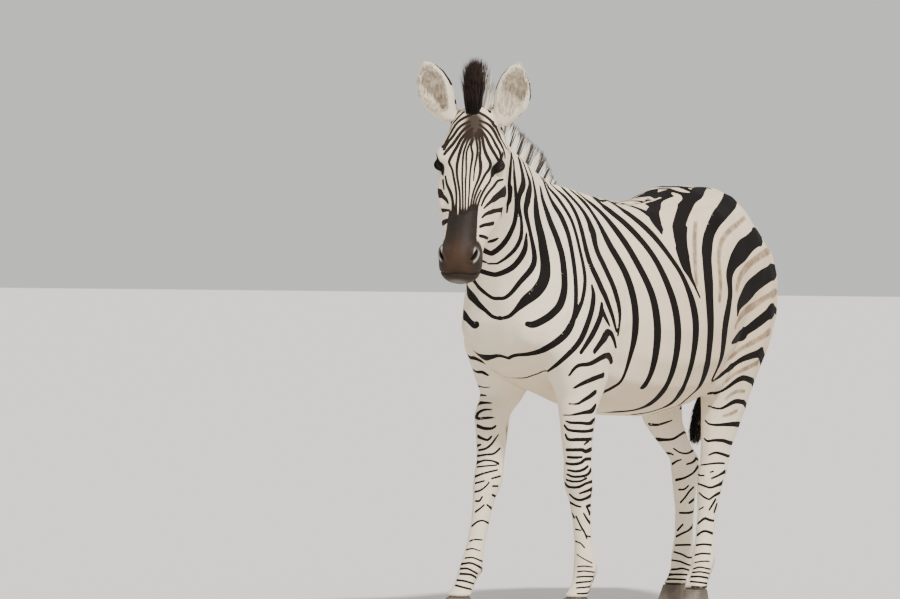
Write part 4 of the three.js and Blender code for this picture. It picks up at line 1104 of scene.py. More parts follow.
# Tail: pale dock with a dark line and bars, and dark long hair lower down.
tailZone = isNode["tail"]
dockValues = {"top": 1.196, "bar": 0.034, "halfLine": 0.006, "halfDorsal": 0.009}
dock = dockValues["top"] - points[:, 2]
bars = np.sin(dock * 2 * math.pi / dockValues["bar"]) * 0.5 + 0.5
spine = dockValues["halfLine"] - np.abs(points[:, 0] - np.interp(points[:, 2], [0.9, 1.0, 1.1, 1.17],
                                                [-0.044, -0.022, -0.008, -0.002]))
tailInk = np.maximum(spine, (bars - 0.72) * 0.012) * (points[:, 1] > 0.80)
mark = np.where(tailZone, np.maximum(tailInk, -0.02), mark)
dorsal = dockValues["halfDorsal"] - np.abs(points[:, 0])
dorsal = dorsal - 0.03 * (1 - softStep(points[:, 1], 0.52, 0.60))
mark = np.where(isNode["trunk"] & (points[:, 2] > 1.05) & (normals[:, 2] > -0.2), np.maximum(mark, dorsal),
                mark)

# Warmer coat over the rump and flank, whiter on the face, chest and legs. The belly's underside, where it
# faces down, gets the warm colour too: that part is painted shade.
warm = (softStep(points[:, 1], -0.35, 0.35) * softStep(points[:, 2], 0.45, 0.85) * (1 - isHead * 1.0)
        * (0.6 + 0.4 * softStep(-points[:, 2], -1.25, -0.95)))
# Painted shade: the warm colour on trunk faces that look down, under the belly.
belly = (softStep(-normals[:, 2], 0.35, 0.9) * softStep(points[:, 2], 0.55, 0.68)
         * (points[:, 2] < 0.9) * isNode["trunk"])
warm = np.clip(warm + 0.8 * belly, 0, 1)
hoofLine = (1 - softStep(points[:, 2], 0.060, 0.074)) * (~isHead)
chestnutPlaces = ((508.5, 430), (508.5, 438))  # the horny patch inside the right foreleg
chestnut = np.zeros(len(points))
for px, py in chestnutPlaces:
    spot = hitOn(bodyTree, px, py, None)[0] or hitOn(bodyTree, px - 1.5, py, None)[0]
    if spot is not None:
        gap = points - np.array(spot)
        chestnut = np.maximum(chestnut, np.exp(-(gap[:, 0] ** 2 + gap[:, 1] ** 2) / 0.008 ** 2
                                               - gap[:, 2] ** 2 / 0.016 ** 2))

masks = {"mark": mark * 100, "shade": shadeInk * 100, "muzzle": muzzle, "rust": np.clip(rust, 0, 1),
         "rims": np.clip(rims + 0.75 * chin * (1 - hollow), 0, 1), "hollow": hollow,
         "lids": lids, "lidPale": lidPale, "whorl": whorl, "tone": tone, "earInside": earInside, "warm": warm,
         "horn": np.maximum(hoofLine, chestnut)}
for name, values in masks.items():
    store(skin, name, values)
say("marks stored")

# Materials.
coatValues = {"pale": (0.85, 0.745, 0.585), "warm": (0.70, 0.565, 0.405), "dark": (0.0065, 0.0052, 0.0050),
              "brown": (0.020, 0.012, 0.009), "shade": (0.165, 0.088, 0.040),
              "muzzle": (0.019, 0.0145, 0.0125),
              "rust": (0.050, 0.028, 0.017), "rim": (0.66, 0.60, 0.52), "hollow": (0.012, 0.008, 0.007),
              "whorl": (0.028, 0.017, 0.012), "lid": (0.010, 0.008, 0.007), "lidPale": (0.60, 0.50, 0.36),
              "ear": (0.45, 0.38, 0.30),
              "horn": (0.09, 0.062, 0.045), "edge": 0.055, "ragged": 0.10, "hair": 0.00045}


def material(name, colour, rough):
    mat = bpy.data.materials.new(name)
    mat.use_nodes = True
    shader = mat.node_tree.nodes["Principled BSDF"]
    shader.inputs["Base Color"].default_value = (*colour, 1)
    shader.inputs["Roughness"].default_value = rough
    return mat


# Short ways to add nodes to one material.
class Nodes:
    def __init__(self, mat):
        self.tree = mat.node_tree
        self.shader = self.tree.nodes["Principled BSDF"]

    def add(self, kind, **values):
        made = self.tree.nodes.new(kind)
        for key, value in values.items():
            setattr(made, key, value)
        return made

    def feed(self, value, socket):
        if isinstance(value, bpy.types.NodeSocket):
            self.tree.links.new(value, socket)
        elif isinstance(value, (tuple, list)) and len(value) == 3 and socket.type == "RGBA":
            socket.default_value = (*value, 1)
        else:
            socket.default_value = value

    def attribute(self, name):
        return self.add("ShaderNodeAttribute", attribute_name=name).outputs["Fac"]

    def mix(self, share, a, b):
        made = self.add("ShaderNodeMix", data_type="RGBA")
        self.feed(share, made.inputs["Factor"])
        self.feed(a, made.inputs["A"])
        self.feed(b, made.inputs["B"])
        return made.outputs["Result"]

    def ramp(self, value, low, high, start=0.0, end=1.0):
        made = self.add("ShaderNodeMapRange", interpolation_type="SMOOTHSTEP")
        for name, item in (("From Min", low), ("From Max", high), ("To Min", start), ("To Max", end)):
            made.inputs[name].default_value = item
        self.feed(value, made.inputs["Value"])
        return made.outputs["Result"]

    def math(self, kind, a, b=0.0):
        made = self.add("ShaderNodeMath", operation=kind)
        self.feed(a, made.inputs[0])
        self.feed(b, made.inputs[1])
        return made.outputs[0]

    # Noise in the object's own place, with one scale for each direction.
    def noise(self, stretch, detail=3.0, rough=0.55):
        place = self.add("ShaderNodeTexCoord").outputs["Object"]
        mapping = self.add("ShaderNodeMapping")
        mapping.inputs["Scale"].default_value = stretch
        self.feed(place, mapping.inputs["Vector"])
        made = self.add("ShaderNodeTexNoise")
        made.inputs["Scale"].default_value = 1.0
        made.inputs["Detail"].default_value = detail
        made.inputs["Roughness"].default_value = rough
        self.feed(mapping.outputs["Vector"], made.inputs["Vector"])
        return made.outputs["Fac"]

    def bump(self, height, distance):
        made = self.add("ShaderNodeBump")
        made.inputs["Distance"].default_value = distance
        self.feed(height, made.inputs["Height"])
        self.tree.links.new(made.outputs["Normal"], self.shader.inputs["Normal"])


def coatMaterial(name, bumped=True):
    v = coatValues
    mat = material(name, v["pale"], 0.72)
    n = Nodes(mat)
    fine = n.noise((420, 420, 420), 2.0)
    ragged = n.math("MULTIPLY", n.math("SUBTRACT", fine, 0.5), v["ragged"] * 2)
    mark = n.math("ADD", n.attribute("mark"), ragged)
    darkShare = n.ramp(mark, -v["edge"], v["edge"])
    patches = n.noise((7, 7, 7), 4.0)
    # This mask holds the warmer coat and also the painted shade under the belly.
    pale = n.mix(n.attribute("warm"), v["pale"], v["warm"])
    pale = n.mix(n.ramp(patches, 0.42, 0.75, 0.0, 0.22), pale, v["warm"])
    shade = n.ramp(n.math("ADD", n.attribute("shade"), ragged), -0.50, 0.30, 0.0, 0.80)
    streaks = n.ramp(n.noise((34, 34, 34), 4.0), 0.30, 0.65, 0.62, 1.0)
    pale = n.mix(n.math("MULTIPLY", shade, streaks), pale, v["shade"])
    dark = n.mix(n.attribute("tone"), v["dark"], v["brown"])
    colour = n.mix(darkShare, pale, dark)
    colour = n.mix(n.math("MULTIPLY", n.attribute("whorl"), 0.97), colour, v["whorl"])
    inner = n.mix(n.ramp(n.noise((160, 160, 28), 3.0), 0.30, 0.66), v["ear"], v["pale"])
    colour = n.mix(n.attribute("earInside"), colour, inner)
    muzzle = n.mix(n.attribute("rust"), v["muzzle"], v["rust"])
    muzzle = n.mix(n.ramp(n.noise((90, 90, 40), 4.0), 0.4, 0.7, 0.0, 0.25), muzzle, v["rust"])
    colour = n.mix(n.attribute("muzzle"), colour, muzzle)
    colour = n.mix(n.attribute("rims"), colour, v["rim"])
    colour = n.mix(n.attribute("lidPale"), colour, v["lidPale"])
    # Dark lids, with painted shade under the brow above each eye.
    colour = n.mix(n.attribute("lids"), colour, v["lid"])
    # Painted shade inside the nostrils.
    colour = n.mix(n.attribute("hollow"), colour, v["hollow"])
    colour = n.mix(n.attribute("horn"), colour, v["horn"])
    grain = n.noise((900, 60, 700), 2.0)
    down = n.noise((900, 900, 60), 2.0)
    hair = n.math("ADD", n.math("MULTIPLY", grain, n.math("SUBTRACT", 1.0, n.attribute("falling"))),
                  n.math("MULTIPLY", down, n.attribute("falling")))
    fleck = n.ramp(hair, 0.30, 0.70, 0.86, 1.06)
    bright = n.add("ShaderNodeVectorMath", operation="SCALE")
    n.feed(colour, bright.inputs[0])
    n.feed(fleck, bright.inputs["Scale"])
    n.tree.links.new(bright.outputs[0], n.shader.inputs["Base Color"])
    smoothShare = n.attribute("muzzle")
    rough = n.ramp(smoothShare, 0.0, 1.0, 0.78, 0.55)
    n.feed(rough, n.shader.inputs["Roughness"])
    n.shader.inputs["Specular IOR Level"].default_value = 0.14
    if bumped:
        n.bump(hair, v["hair"])
    return mat


skin.data.materials.clear()
skin.data.materials.append(coatMaterial("coat"))
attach(skin, "root")
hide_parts(*fleshNodes)

# Lie of the coat.
headDown = -np.array(headToRow)[:3, 2]
headForward = -np.array(headToRow)[:3, 1]
headSide = np.array(headToRow)[:3, 0]


# Direction of the hair at each place: back and down the body, down the legs, round the whorl of the face.
def lieOf(where, normal, onHeadShare):
    y, z = where[:, 1], where[:, 2]
    back = np.stack([np.zeros(len(y)), np.ones(len(y)) * 0.85, -0.45 - 0.6 * softStep(y, 0.45, 0.8)], 1)
    neckShare = softStep(-y, 0.10, 0.40) * softStep(z, 0.9, 1.1)
    back = back * (1 - neckShare[:, None]) + np.array([0.0, 0.62, -0.75]) * neckShare[:, None]
    legShare = 1 - softStep(z, 0.55, 0.80)
    back = back * (1 - legShare[:, None]) + np.array([0, 0.18, -1.0]) * legShare[:, None]
    place = toHead(where)
    down = place[:, 2]
    turn = softStep(down, 0.02, 0.09) * 2 - 1
    face = (headDown[None] * turn[:, None] + headSide[None] * (place[:, 0] * 5)[:, None]
            - headForward[None] * 0.12)
    out = back * (1 - onHeadShare[:, None]) + face * onHeadShare[:, None]
    out -= normal * np.einsum("nk,nk->n", out, normal)[:, None]
    return out / np.maximum(np.linalg.norm(out, axis=1), 1e-6)[:, None]


lie = lieOf(points, normals, isHead.astype(float))
store(skin, "falling", np.abs(lie[:, 2]) ** 1.5)
say("coat material ready")


# Unwrap of the skin.
def unwrap(obj):
    bpy.ops.object.select_all(action="DESELECT")
    bpy.context.view_layer.objects.active = obj
    obj.select_set(True)
    while obj.data.uv_layers:
        obj.data.uv_layers.remove(obj.data.uv_layers[0])
    obj.data.uv_layers.new(name="OFBake")
    bpy.ops.object.mode_set(mode="EDIT")
    bpy.ops.mesh.select_all(action="SELECT")
    bpy.ops.uv.smart_project(angle_limit=1.15, island_margin=0.002)
    bpy.ops.object.mode_set(mode="OBJECT")


unwrap(skin)
say("skin unwrapped")
skinTree = BVHTree.FromObject(skin, bpy.context.evaluated_depsgraph_get())
loopTotal = len(skin.data.loops)
skinUv = np.empty(loopTotal * 2)
skin.data.uv_layers["OFBake"].data.foreach_get("uv", skinUv)
skinUv = skinUv.reshape(-1, 2)
polyStart = np.empty(len(skin.data.polygons), dtype=np.int64)
skin.data.polygons.foreach_get("loop_start", polyStart)
polyCount = np.empty(len(skin.data.polygons), dtype=np.int64)
skin.data.polygons.foreach_get("loop_total", polyCount)
loopVertex = np.empty(loopTotal, dtype=np.int64)
skin.data.loops.foreach_get("vertex_index", loopVertex)
maskNames = list(masks) + ["falling"]
maskTable = np.stack([np.asarray(list(masks.values())[k]) if k < len(masks) else np.abs(lie[:, 2]) ** 1.5
                      for k in range(len(maskNames))], 1)


# For each root: nearest skin face, its uv and its masks.
def readSkin(roots):
    uv = np.zeros((len(roots), 2))
    values = np.zeros((len(roots), len(maskNames)))
    for k, root in enumerate(roots):
        face = skinTree.find_nearest(Vector(root))[2]
        loop = polyStart[face]
        uv[k] = skinUv[loop:loop + polyCount[face]].mean(0)
        values[k] = maskTable[loopVertex[loop]]
    return uv, values


# Tapered locks: each leaves its root along lie, lifts or bends by bend towards out, and ends in a point.
def locks(name, root, lie, out, length, width, bend, rings=3, sides=3, thick=0.5, attributes=None, uv=None,
          spread=None):
    count = len(root)
    across = np.cross(lie, out)
    across /= np.maximum(np.linalg.norm(across, axis=1), 1e-9)[:, None]
    up = np.cross(across, lie)
    verts = []
    share = []
    for k in range(rings):
        t = k / rings
        centre = root + lie * (length * t)[:, None] + out * (bend * t * t)[:, None]
        if spread is not None:
            centre = centre + spread * (t * t)
        taper = (1 - t) ** 0.55 * (0.75 + 0.6 * t if k else 0.75)
        for j in range(sides):
            angle = 2 * math.pi * j / sides + math.pi / 2
            verts.append(centre + across * (width * taper * math.cos(angle))[:, None]
                         + up * (width * taper * thick * math.sin(angle))[:, None])
            share.append(t)
    tip = root + lie * length[:, None] + out * bend[:, None]
    if spread is not None:
        tip = tip + spread
    verts.append(tip)
    share.append(1.0)
    per = rings * sides + 1
    allVerts = np.stack(verts, 1).reshape(-1, 3)
    faces = []
    for k in range(rings - 1):
        for j in range(sides):
            a, b = k * sides + j, k * sides + (j + 1) % sides
            faces.append((a, b, b + sides))
            faces.append((a, b + sides, a + sides))
    top = (rings - 1) * sides
    for j in range(sides):
        faces.append((top + j, top + (j + 1) % sides, per - 1))
    faces = np.array(faces)
    allFaces = (faces[None] + (np.arange(count) * per)[:, None, None]).reshape(-1, 3)
    mesh = bpy.data.meshes.new(name)
    mesh.vertices.add(len(allVerts))
    mesh.vertices.foreach_set("co", allVerts.reshape(-1).astype(np.float32))
    mesh.loops.add(len(allFaces) * 3)
    mesh.loops.foreach_set("vertex_index", allFaces.reshape(-1).astype(np.int32))
    mesh.polygons.add(len(allFaces))
    mesh.polygons.foreach_set("loop_start", np.arange(0, len(allFaces) * 3, 3, dtype=np.int32))
    mesh.update(calc_edges=True)
    mesh.polygons.foreach_set("use_smooth", [True] * len(allFaces))
    obj = bpy.data.objects.new(name, mesh)
    bpy.context.collection.objects.link(obj)
    share = np.array(share)
    store(obj, "along", np.tile(share, count))
    for key, value in (attributes or {}).items():
        store(obj, key, np.repeat(value, per))
    layer = mesh.uv_layers.new(name="OFBake")
    corner = np.array([(j / sides - 0.5) for k in range(rings) for j in range(sides)] + [0.0])
    patch = np.stack([np.tile(corner, count), np.tile(share - 0.5, count)], 1) * 0.0028
    place = np.repeat(uv, per, axis=0) + patch
    corners = np.clip(place[allFaces.reshape(-1)], 0.001, 0.999)
    layer.data.foreach_set("uv", corners.reshape(-1).astype(np.float32))
    return obj


def finish(obj, mat, nodes=()):
    obj.data.materials.clear()
    obj.data.materials.append(mat)
    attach(obj, "root")
    if nodes:
        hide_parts(*nodes)


# Mane.
maneValues = {"height": 0.092, "half": 0.024, "locks": 7200, "width": 0.0027, "bands": 13.0,
              "rooted": 0.014, "seed": 11}
foreValues = {"locks": 3200, "half": 0.031, "length": 0.178, "thin": 0.0019, "thick": 0.0030, "seed": 5}
# Roots along the crest: x, y, z, height share, half width share, lean and turn in degrees.
maneRoots = [(0, -0.318, 1.312, 0.10, 0.50, 0, 0), (0.001, -0.368, 1.322, 0.42, 0.75, 0.10, 3),
             (0.008, -0.450, 1.356, 0.98, 0.90, 0, 8), (0.033, -0.580, 1.412, 1.02, 1.00, -0.05, 15),
             (0.070, -0.708, 1.466, 1.05, 1.05, -0.10, 21), (0.100, -0.800, 1.500, 1.15, 1.15, -0.12, 25),
             (0.112, -0.838, 1.512, 1.20, 1.15, -0.12, 25)]
foreRoots = [(-0.034, -0.090, 0.80), (-0.024, -0.064, 0.95), (-0.008, -0.040, 1.0), (0.008, -0.020, 0.9),
             (0.022, -0.006, 0.5)]


# Values of a station table at shares t, 0 to 1.
def along(table, t):
    table = np.array(table, dtype=float)
    knots = np.linspace(0, 1, len(table))
    return np.stack([np.interp(t, knots, table[:, k]) for k in range(table.shape[1])], 1)


def hairMaterial(name, build):
    mat = material(name, (0.5, 0.5, 0.5), 0.55)
    n = Nodes(mat)
    colour = build(n)
    n.tree.links.new(colour, n.shader.inputs["Base Color"])
    n.shader.inputs["Specular IOR Level"].default_value = 0.2
    return mat


maneColours = {"white": (0.84, 0.80, 0.72), "dark": (0.030, 0.026, 0.025), "tip": (0.085, 0.070, 0.060),
               "black": (0.008, 0.0065, 0.006), "rustTip": (0.024, 0.012, 0.009)}


def maneLook(n):
    v = maneColours
    band = n.ramp(n.attribute("band"), -0.30, 0.30)
    tipShare = n.ramp(n.math("ADD", n.attribute("along"), n.attribute("early")), 0.66, 0.98)
    body = n.mix(band, v["white"], v["dark"])
    return n.mix(tipShare, body, v["tip"])


def foreLook(n):
    v = maneColours
    tipShare = n.ramp(n.math("ADD", n.attribute("along"), n.attribute("early")), 0.55, 0.95)
    body = n.mix(tipShare, v["black"], v["rustTip"])
    return n.mix(n.attribute("band"), body, v["white"])


def buildMane():
    v = maneValues
    rng = np.random.default_rng(v["seed"])
    count = v["locks"]
    t = rng.uniform(0.02, 1, count)
    row = along(maneRoots, t)
    across = rng.uniform(-1, 1, count) * np.sqrt(rng.uniform(0.05, 1, count))
    turn = np.radians(row[:, 6])
    side = np.stack([np.cos(turn), np.sin(turn), np.zeros(count)], 1)
    forwards = np.gradient(along(maneRoots, np.linspace(0, 1, 200))[:, :3], axis=0)
    forwards /= np.linalg.norm(forwards, axis=1)[:, None]
    forwards = forwards[(t * 199).astype(int)]
    up = np.cross(side, forwards)
    up *= np.sign(up[:, 2])[:, None]
    half = v["half"] * row[:, 4]
    crown = softStep(t, 0.86, 0.93)
    height = (v["height"] * row[:, 3] * (1 - 0.22 * across ** 2) * rng.uniform(0.84, 1.06, count)
              * (1 + 0.45 * crown))
    root = row[:, :3] + np.array(bodyShift) + side * (across * half * 0.8)[:, None] - up * v["rooted"]
    lieDir = up + side * (across * 0.10 + row[:, 5] * 0.6)[:, None] - forwards * 0.16
    lieDir += rng.normal(0, 0.045, (count, 3))
    lieDir /= np.linalg.norm(lieDir, axis=1)[:, None]
    length = height + v["rooted"]
    wave = (np.sin(t * 2 * math.pi * v["bands"] + 0.9 * np.sin(t * 9)) - 0.45 - 1.6 * crown
            + rng.normal(0, 0.16, count))
    uv, _ = readSkin(root)
    obj = locks("mane_hair", root, lieDir, side * np.sign(across)[:, None], length,
                np.full(count, v["width"]) * rng.uniform(0.7, 1.2, count), rng.normal(0, 0.004, count),
                rings=4, attributes={"band": wave, "early": rng.uniform(-0.16, 0.12, count)}, uv=uv)
    finish(obj, hairMaterial("mane_finish", maneLook), ["mane"])
    return obj


def buildForelock():
    v = foreValues
    rng = np.random.default_rng(v["seed"])
    count = v["locks"]
    t = rng.uniform(0, 1, count)
    row = along(foreRoots, t)
    across = rng.uniform(-1, 1, count) * np.sqrt(rng.uniform(0.05, 1, count))
    half = v["half"] * (1 - 0.30 * np.abs(t - 0.45) * 2)
    root = toRow(np.stack([across * half * 0.72, row[:, 1] - 0.006, row[:, 0] + 0.012], 1))
    up = np.array([0.0, 0.0, 1.0]) * np.ones((count, 1))
    lieDir = up + headSide[None] * (across * 0.10 - 0.01)[:, None] + rng.normal(0, 0.05, (count, 3))
    lieDir -= headForward[None] * (0.16 * (0.5 - t))[:, None]
    lieDir /= np.linalg.norm(lieDir, axis=1)[:, None]
    length = v["length"] * row[:, 2] * (1 - 0.25 * across ** 2) * rng.uniform(0.80, 1.04, count) + 0.010
    uv, _ = readSkin(root)
    white = (softStep(across * half + rng.normal(0, 0.002, count), 0.0175, 0.0215)
             * softStep(0.6 - t, 0.0, 0.2))
    obj = locks("forelock_hair", root, lieDir, headSide[None] * np.sign(across)[:, None], length,
                rng.uniform(v["thin"], v["thick"], count), rng.normal(0, 0.004, count), rings=4,
                attributes={"band": white, "early": rng.uniform(-0.18, 0.15, count)}, uv=uv)
    finish(obj, hairMaterial("forelock_finish", foreLook), ["forelock"])
    return obj


buildMane()
buildForelock()
say("mane and forelock grown")

# Tail hair.
tailLine = [(0, 0.622, 1.196, 1.25), (-0.002, 0.686, 1.168, 1.15), (-0.008, 0.722, 1.100, 1.0),
            (-0.022, 0.726, 1.000, 0.9),
            (-0.044, 0.706, 0.900, 0.85), (-0.066, 0.666, 0.800, 1.0), (-0.086, 0.620, 0.700, 1.3),
            (-0.098, 0.580, 0.610, 1.25), (-0.104, 0.556, 0.545, 0.75), (-0.106, 0.546, 0.508, 0.2)]


tailValues = {"locks": 3000, "top": 0.40, "bottom": 0.86, "radius": 0.024, "shortest": 0.09,
              "longest": 0.19, "thin": 0.0020, "thick": 0.0034, "seed": 23}


def buildTail():
    v = tailValues
    rng = np.random.default_rng(v["seed"])
    count = v["locks"]
    t = rng.uniform(v["top"], v["bottom"], count)
    row = along(tailLine, t)
    ahead = along(tailLine, np.minimum(t + 0.14, 1.0))
    tangent = ahead[:, :3] - row[:, :3]
    size = np.linalg.norm(tangent, axis=1)
    tangent /= size[:, None]
    angle = rng.uniform(0, 2 * math.pi, count)
    first = np.cross(tangent, [1.0, 0, 0])
    first /= np.linalg.norm(first, axis=1)[:, None]
    second = np.cross(tangent, first)
    out = first * np.cos(angle)[:, None] + second * np.sin(angle)[:, None]
    radius = v["radius"] * row[:, 3] * 0.80
    root = row[:, :3] + np.array(bodyShift) + out * radius[:, None]
    length = np.minimum(rng.uniform(v["shortest"], v["longest"], count), (1.0 - t) * 1.15 * 0.75)
    ahead = along(tailLine, np.minimum(t + length / 0.78, 1.0))
    aim = ahead[:, :3] + np.array(bodyShift) + out * (v["radius"] * ahead[:, 3] * 0.85)[:, None] - root
    aim += rng.normal(0, 0.007, (count, 3))
    size = np.linalg.norm(aim, axis=1)
    aim /= size[:, None]
    uv, _ = readSkin(root)
    pale = (rng.uniform(0, 1, count) < 0.30 * (1 - softStep(t, 0.45, 0.62))).astype(float)
    obj = locks("tail_hair", root, aim, out, size * rng.uniform(0.9, 1.0, count),
                rng.uniform(v["thin"], v["thick"], count), rng.uniform(-0.002, 0.004, count), rings=4,
                attributes={"band": pale, "early": np.full(count, -0.5)}, uv=uv)
    finish(obj, hairMaterial("tail_finish", foreLook))
    return obj


buildTail()
say("tail hair grown")

# Eyes.
eyeLook = {"iris": (0.018, 0.009, 0.005), "pupil": (0.002, 0.002, 0.003), "white": (0.05, 0.036, 0.030)}


def eyeMaterial():
    mat = material("eye_finish", eyeLook["iris"], 0.14)
    n = Nodes(mat)
    iris = n.mix(n.ramp(n.noise((700, 700, 700), 4.0), 0.3, 0.7), eyeLook["iris"], (0.034, 0.016, 0.008))
    colour = n.mix(n.attribute("iris"), eyeLook["white"], iris)
    colour = n.mix(n.attribute("pupil"), colour, eyeLook["pupil"])
    n.tree.links.new(colour, n.shader.inputs["Base Color"])
    n.shader.inputs["Specular IOR Level"].default_value = 0.2
    n.shader.inputs["Coat Weight"].default_value = 0.25
    n.shader.inputs["Coat Roughness"].default_value = 0.03
    return mat


eyeMat = eyeMaterial()


def buildEye(sign, nodeName):
    centre, outward, corner, brow = eyeFrame(sign)
    bm = bmesh.new()
    bmesh.ops.create_uvsphere(bm, u_segments=64, v_segments=40, radius=1.0)
    mesh = bpy.data.meshes.new(nodeName + "_ball")
    bm.to_mesh(mesh)
    bm.free()
    unit = positions(mesh)
    lift = unit[:, 2]
    ball = unit * (eyeValues["radius"] * (1 + 0.035 * softStep(lift, 0.55, 1.0)))[:, None]
    local = centre + ball[:, :1] * corner + ball[:, 1:2] * brow + ball[:, 2:] * outward
    setPositions(mesh, toRow(local))
    obj = bpy.data.objects.new(nodeName + "_ball", mesh)
    bpy.context.collection.objects.link(obj)
    mesh.polygons.foreach_set("use_smooth", [True] * len(mesh.polygons))
    store(obj, "iris", softStep(lift, 0.60, 0.68))
    pupil = np.hypot(unit[:, 0] / 0.42, unit[:, 1] / 0.22)
    store(obj, "pupil", (1 - softStep(pupil, 0.85, 1.1)) * (lift > 0))
    finish(obj, eyeMat, [nodeName])
    bm = bmesh.new()
    bm.from_mesh(mesh)
    bmesh.ops.recalc_face_normals(bm, faces=bm.faces)
    bm.to_mesh(mesh)
    bm.free()


buildEye(1, "eye_left")
buildEye(-1, "eye_right")

# Hooves.
hoofLook = {"low": (0.16, 0.125, 0.095), "high": (0.085, 0.068, 0.055), "ring": 0.0007}


def hoofMaterial():
    mat = material("hoof_finish", hoofLook["low"], 0.5)
    n = Nodes(mat)
    height = n.ramp(n.attribute("height"), 0.0, 0.06)
    colour = n.mix(height, hoofLook["low"], hoofLook["high"])
    colour = n.mix(n.ramp(n.noise((30, 30, 8), 5.0), 0.45, 0.7, 0.0, 0.5), colour, (0.23, 0.18, 0.13))
    n.tree.links.new(colour, n.shader.inputs["Base Color"])
    rings = n.math("SINE", n.math("MULTIPLY", n.attribute("height"), 900.0))
    grain = n.noise((260, 260, 20), 3.0)
    n.bump(n.math("ADD", n.math("MULTIPLY", rings, 0.35), grain), hoofLook["ring"])
    return mat


hoofMat = hoofMaterial()
hoofValues = {"voxel": 0.003, "rounds": 30, "flatBelow": 0.0028}
for name in hoofNodes:
    part = cleanCopy(name)
    mesh = bpy.data.meshes.new(name + "_wall")
    part.to_mesh(mesh)
    part.free()
    obj = bpy.data.objects.new(name + "_wall", mesh)
    bpy.context.collection.objects.link(obj)
    remesh = obj.modifiers.new("remesh", "REMESH")
    remesh.mode = "VOXEL"
    remesh.voxel_size = hoofValues["voxel"]
    bpy.context.view_layer.objects.active = obj
    bpy.ops.object.select_all(action="DESELECT")
    obj.select_set(True)
    bpy.ops.object.modifier_apply(modifier="remesh")
    shape = positions(obj.data)
    sole = shape[:, 2].min()
    flat = softStep(shape[:, 2], sole + 0.001, sole + 0.006)
    shape = smoothed(shape, edgesOf(obj.data), flat, hoofValues["rounds"])
    shape[:, 2] = np.maximum(shape[:, 2], 0.0)
    shape[:, 2] = np.where(shape[:, 2] < hoofValues["flatBelow"], 0.0, shape[:, 2])
    setPositions(obj.data, shape)
    obj.data.polygons.foreach_set("use_smooth", [True] * len(obj.data.polygons))
    store(obj, "height", shape[:, 2])
    finish(obj, hoofMat, [name])
say("eyes and hooves ready")

# Short hair.
shortMat = coatMaterial("short_hair", bumped=False)
polyVertexOne = loopVertex[polyStart]
polyArea = np.empty(len(skin.data.polygons))
skin.data.polygons.foreach_get("area", polyArea)
polyCentre = np.empty(len(skin.data.polygons) * 3)
skin.data.polygons.foreach_get("center", polyCentre)
polyCentre = polyCentre.reshape(-1, 3)
polyNormal = np.empty(len(skin.data.polygons) * 3)
skin.data.polygons.foreach_get("normal", polyNormal)
polyNormal = polyNormal.reshape(-1, 3)
faceUv = np.stack([np.add.reduceat(skinUv[:, k], polyStart) / polyCount for k in (0, 1)], 1)


# Tufts over the skin: density is a weight per face, and the rest are values per face.
def shortHair(name, density, length, width, lift, count, seed, rings=2):
    rng = np.random.default_rng(seed)
    weight = np.maximum(density * polyArea, 0)
    chosen = rng.choice(len(weight), count, p=weight / weight.sum())
    normal = polyNormal[chosen]
    head = isHead[polyVertexOne[chosen]].astype(float)
    flow = lieOf(polyCentre[chosen], normal, head)
    jitter = np.sqrt(polyArea[chosen])[:, None] * rng.uniform(-0.5, 0.5, (count, 1))
    root = polyCentre[chosen] + np.cross(normal, flow) * jitter - normal * 0.0008
    flow = (flow + np.cross(normal, flow) * rng.normal(0, 0.13, count)[:, None]
            + normal * lift[chosen][:, None])
    flow /= np.linalg.norm(flow, axis=1)[:, None]
    size = length[chosen] * rng.uniform(0.75, 1.15, count)
    obj = locks(name, root, flow, normal, size, width[chosen] * rng.uniform(0.8, 1.15, count),
                -size * lift[chosen] * 0.75, rings=rings, thick=0.35, uv=faceUv[chosen],
                attributes={key: maskTable[polyVertexOne[chosen], k] for k, key in enumerate(maskNames)})
    finish(obj, shortMat)
    return obj


# Tufts of each piece, then the length and half width of a tuft on the face, legs and body.
hairValues = {"pieces": 4, "tufts": 16000, "seed": 40, "earTufts": 8000, "earSeed": 61, "edgeTufts": 10000,
              "edgeSeed": 71, "faceLength": 0.0055, "legLength": 0.008, "bodyLength": 0.012,
              "muzzleLength": 0.0035, "faceWidth": 0.0008, "legWidth": 0.0011, "bodyWidth": 0.0016,
              "edgeWidth": 0.0013, "lift": 0.10, "kneeHeight": 0.55}
faceOf = {name: isNode[name][polyVertexOne] for name in fleshNodes}
faceZ = polyCentre[:, 2]
bare = (masks["lids"] + masks["hollow"] + masks["horn"])[polyVertexOne] > 0.4
onMuzzle = masks["muzzle"][polyVertexOne] > 0.5
lowLeg = faceZ < hairValues["kneeHeight"]
plainLength = np.where(lowLeg, hairValues["legLength"], hairValues["bodyLength"])
plainLength = np.where(faceOf["head"], hairValues["faceLength"], plainLength)
plainLength = np.where(onMuzzle, hairValues["muzzleLength"], plainLength)
plainWidth = np.where(lowLeg, hairValues["legWidth"], hairValues["bodyWidth"])
plainWidth = np.where(faceOf["head"], hairValues["faceWidth"], plainWidth)
plainLift = np.full(len(faceZ), hairValues["lift"])
cover = np.where(bare, 0, 1.0)
cover = np.where(faceOf["head"], cover * 3.0, cover)
cover = np.where(lowLeg & ~faceOf["tail"], cover * 1.8, cover)
bodyCover = ~(faceOf["head"] | faceOf["ear_left"] | faceOf["ear_right"])
for k in range(hairValues["pieces"]):
    part = cover * (bodyCover if k < hairValues["pieces"] - 1 else faceOf["head"])
    shortHair("coat_hair_%d" % k, part, plainLength, plainWidth, plainLift, hairValues["tufts"],
              hairValues["seed"] + k)
say("short hair grown")

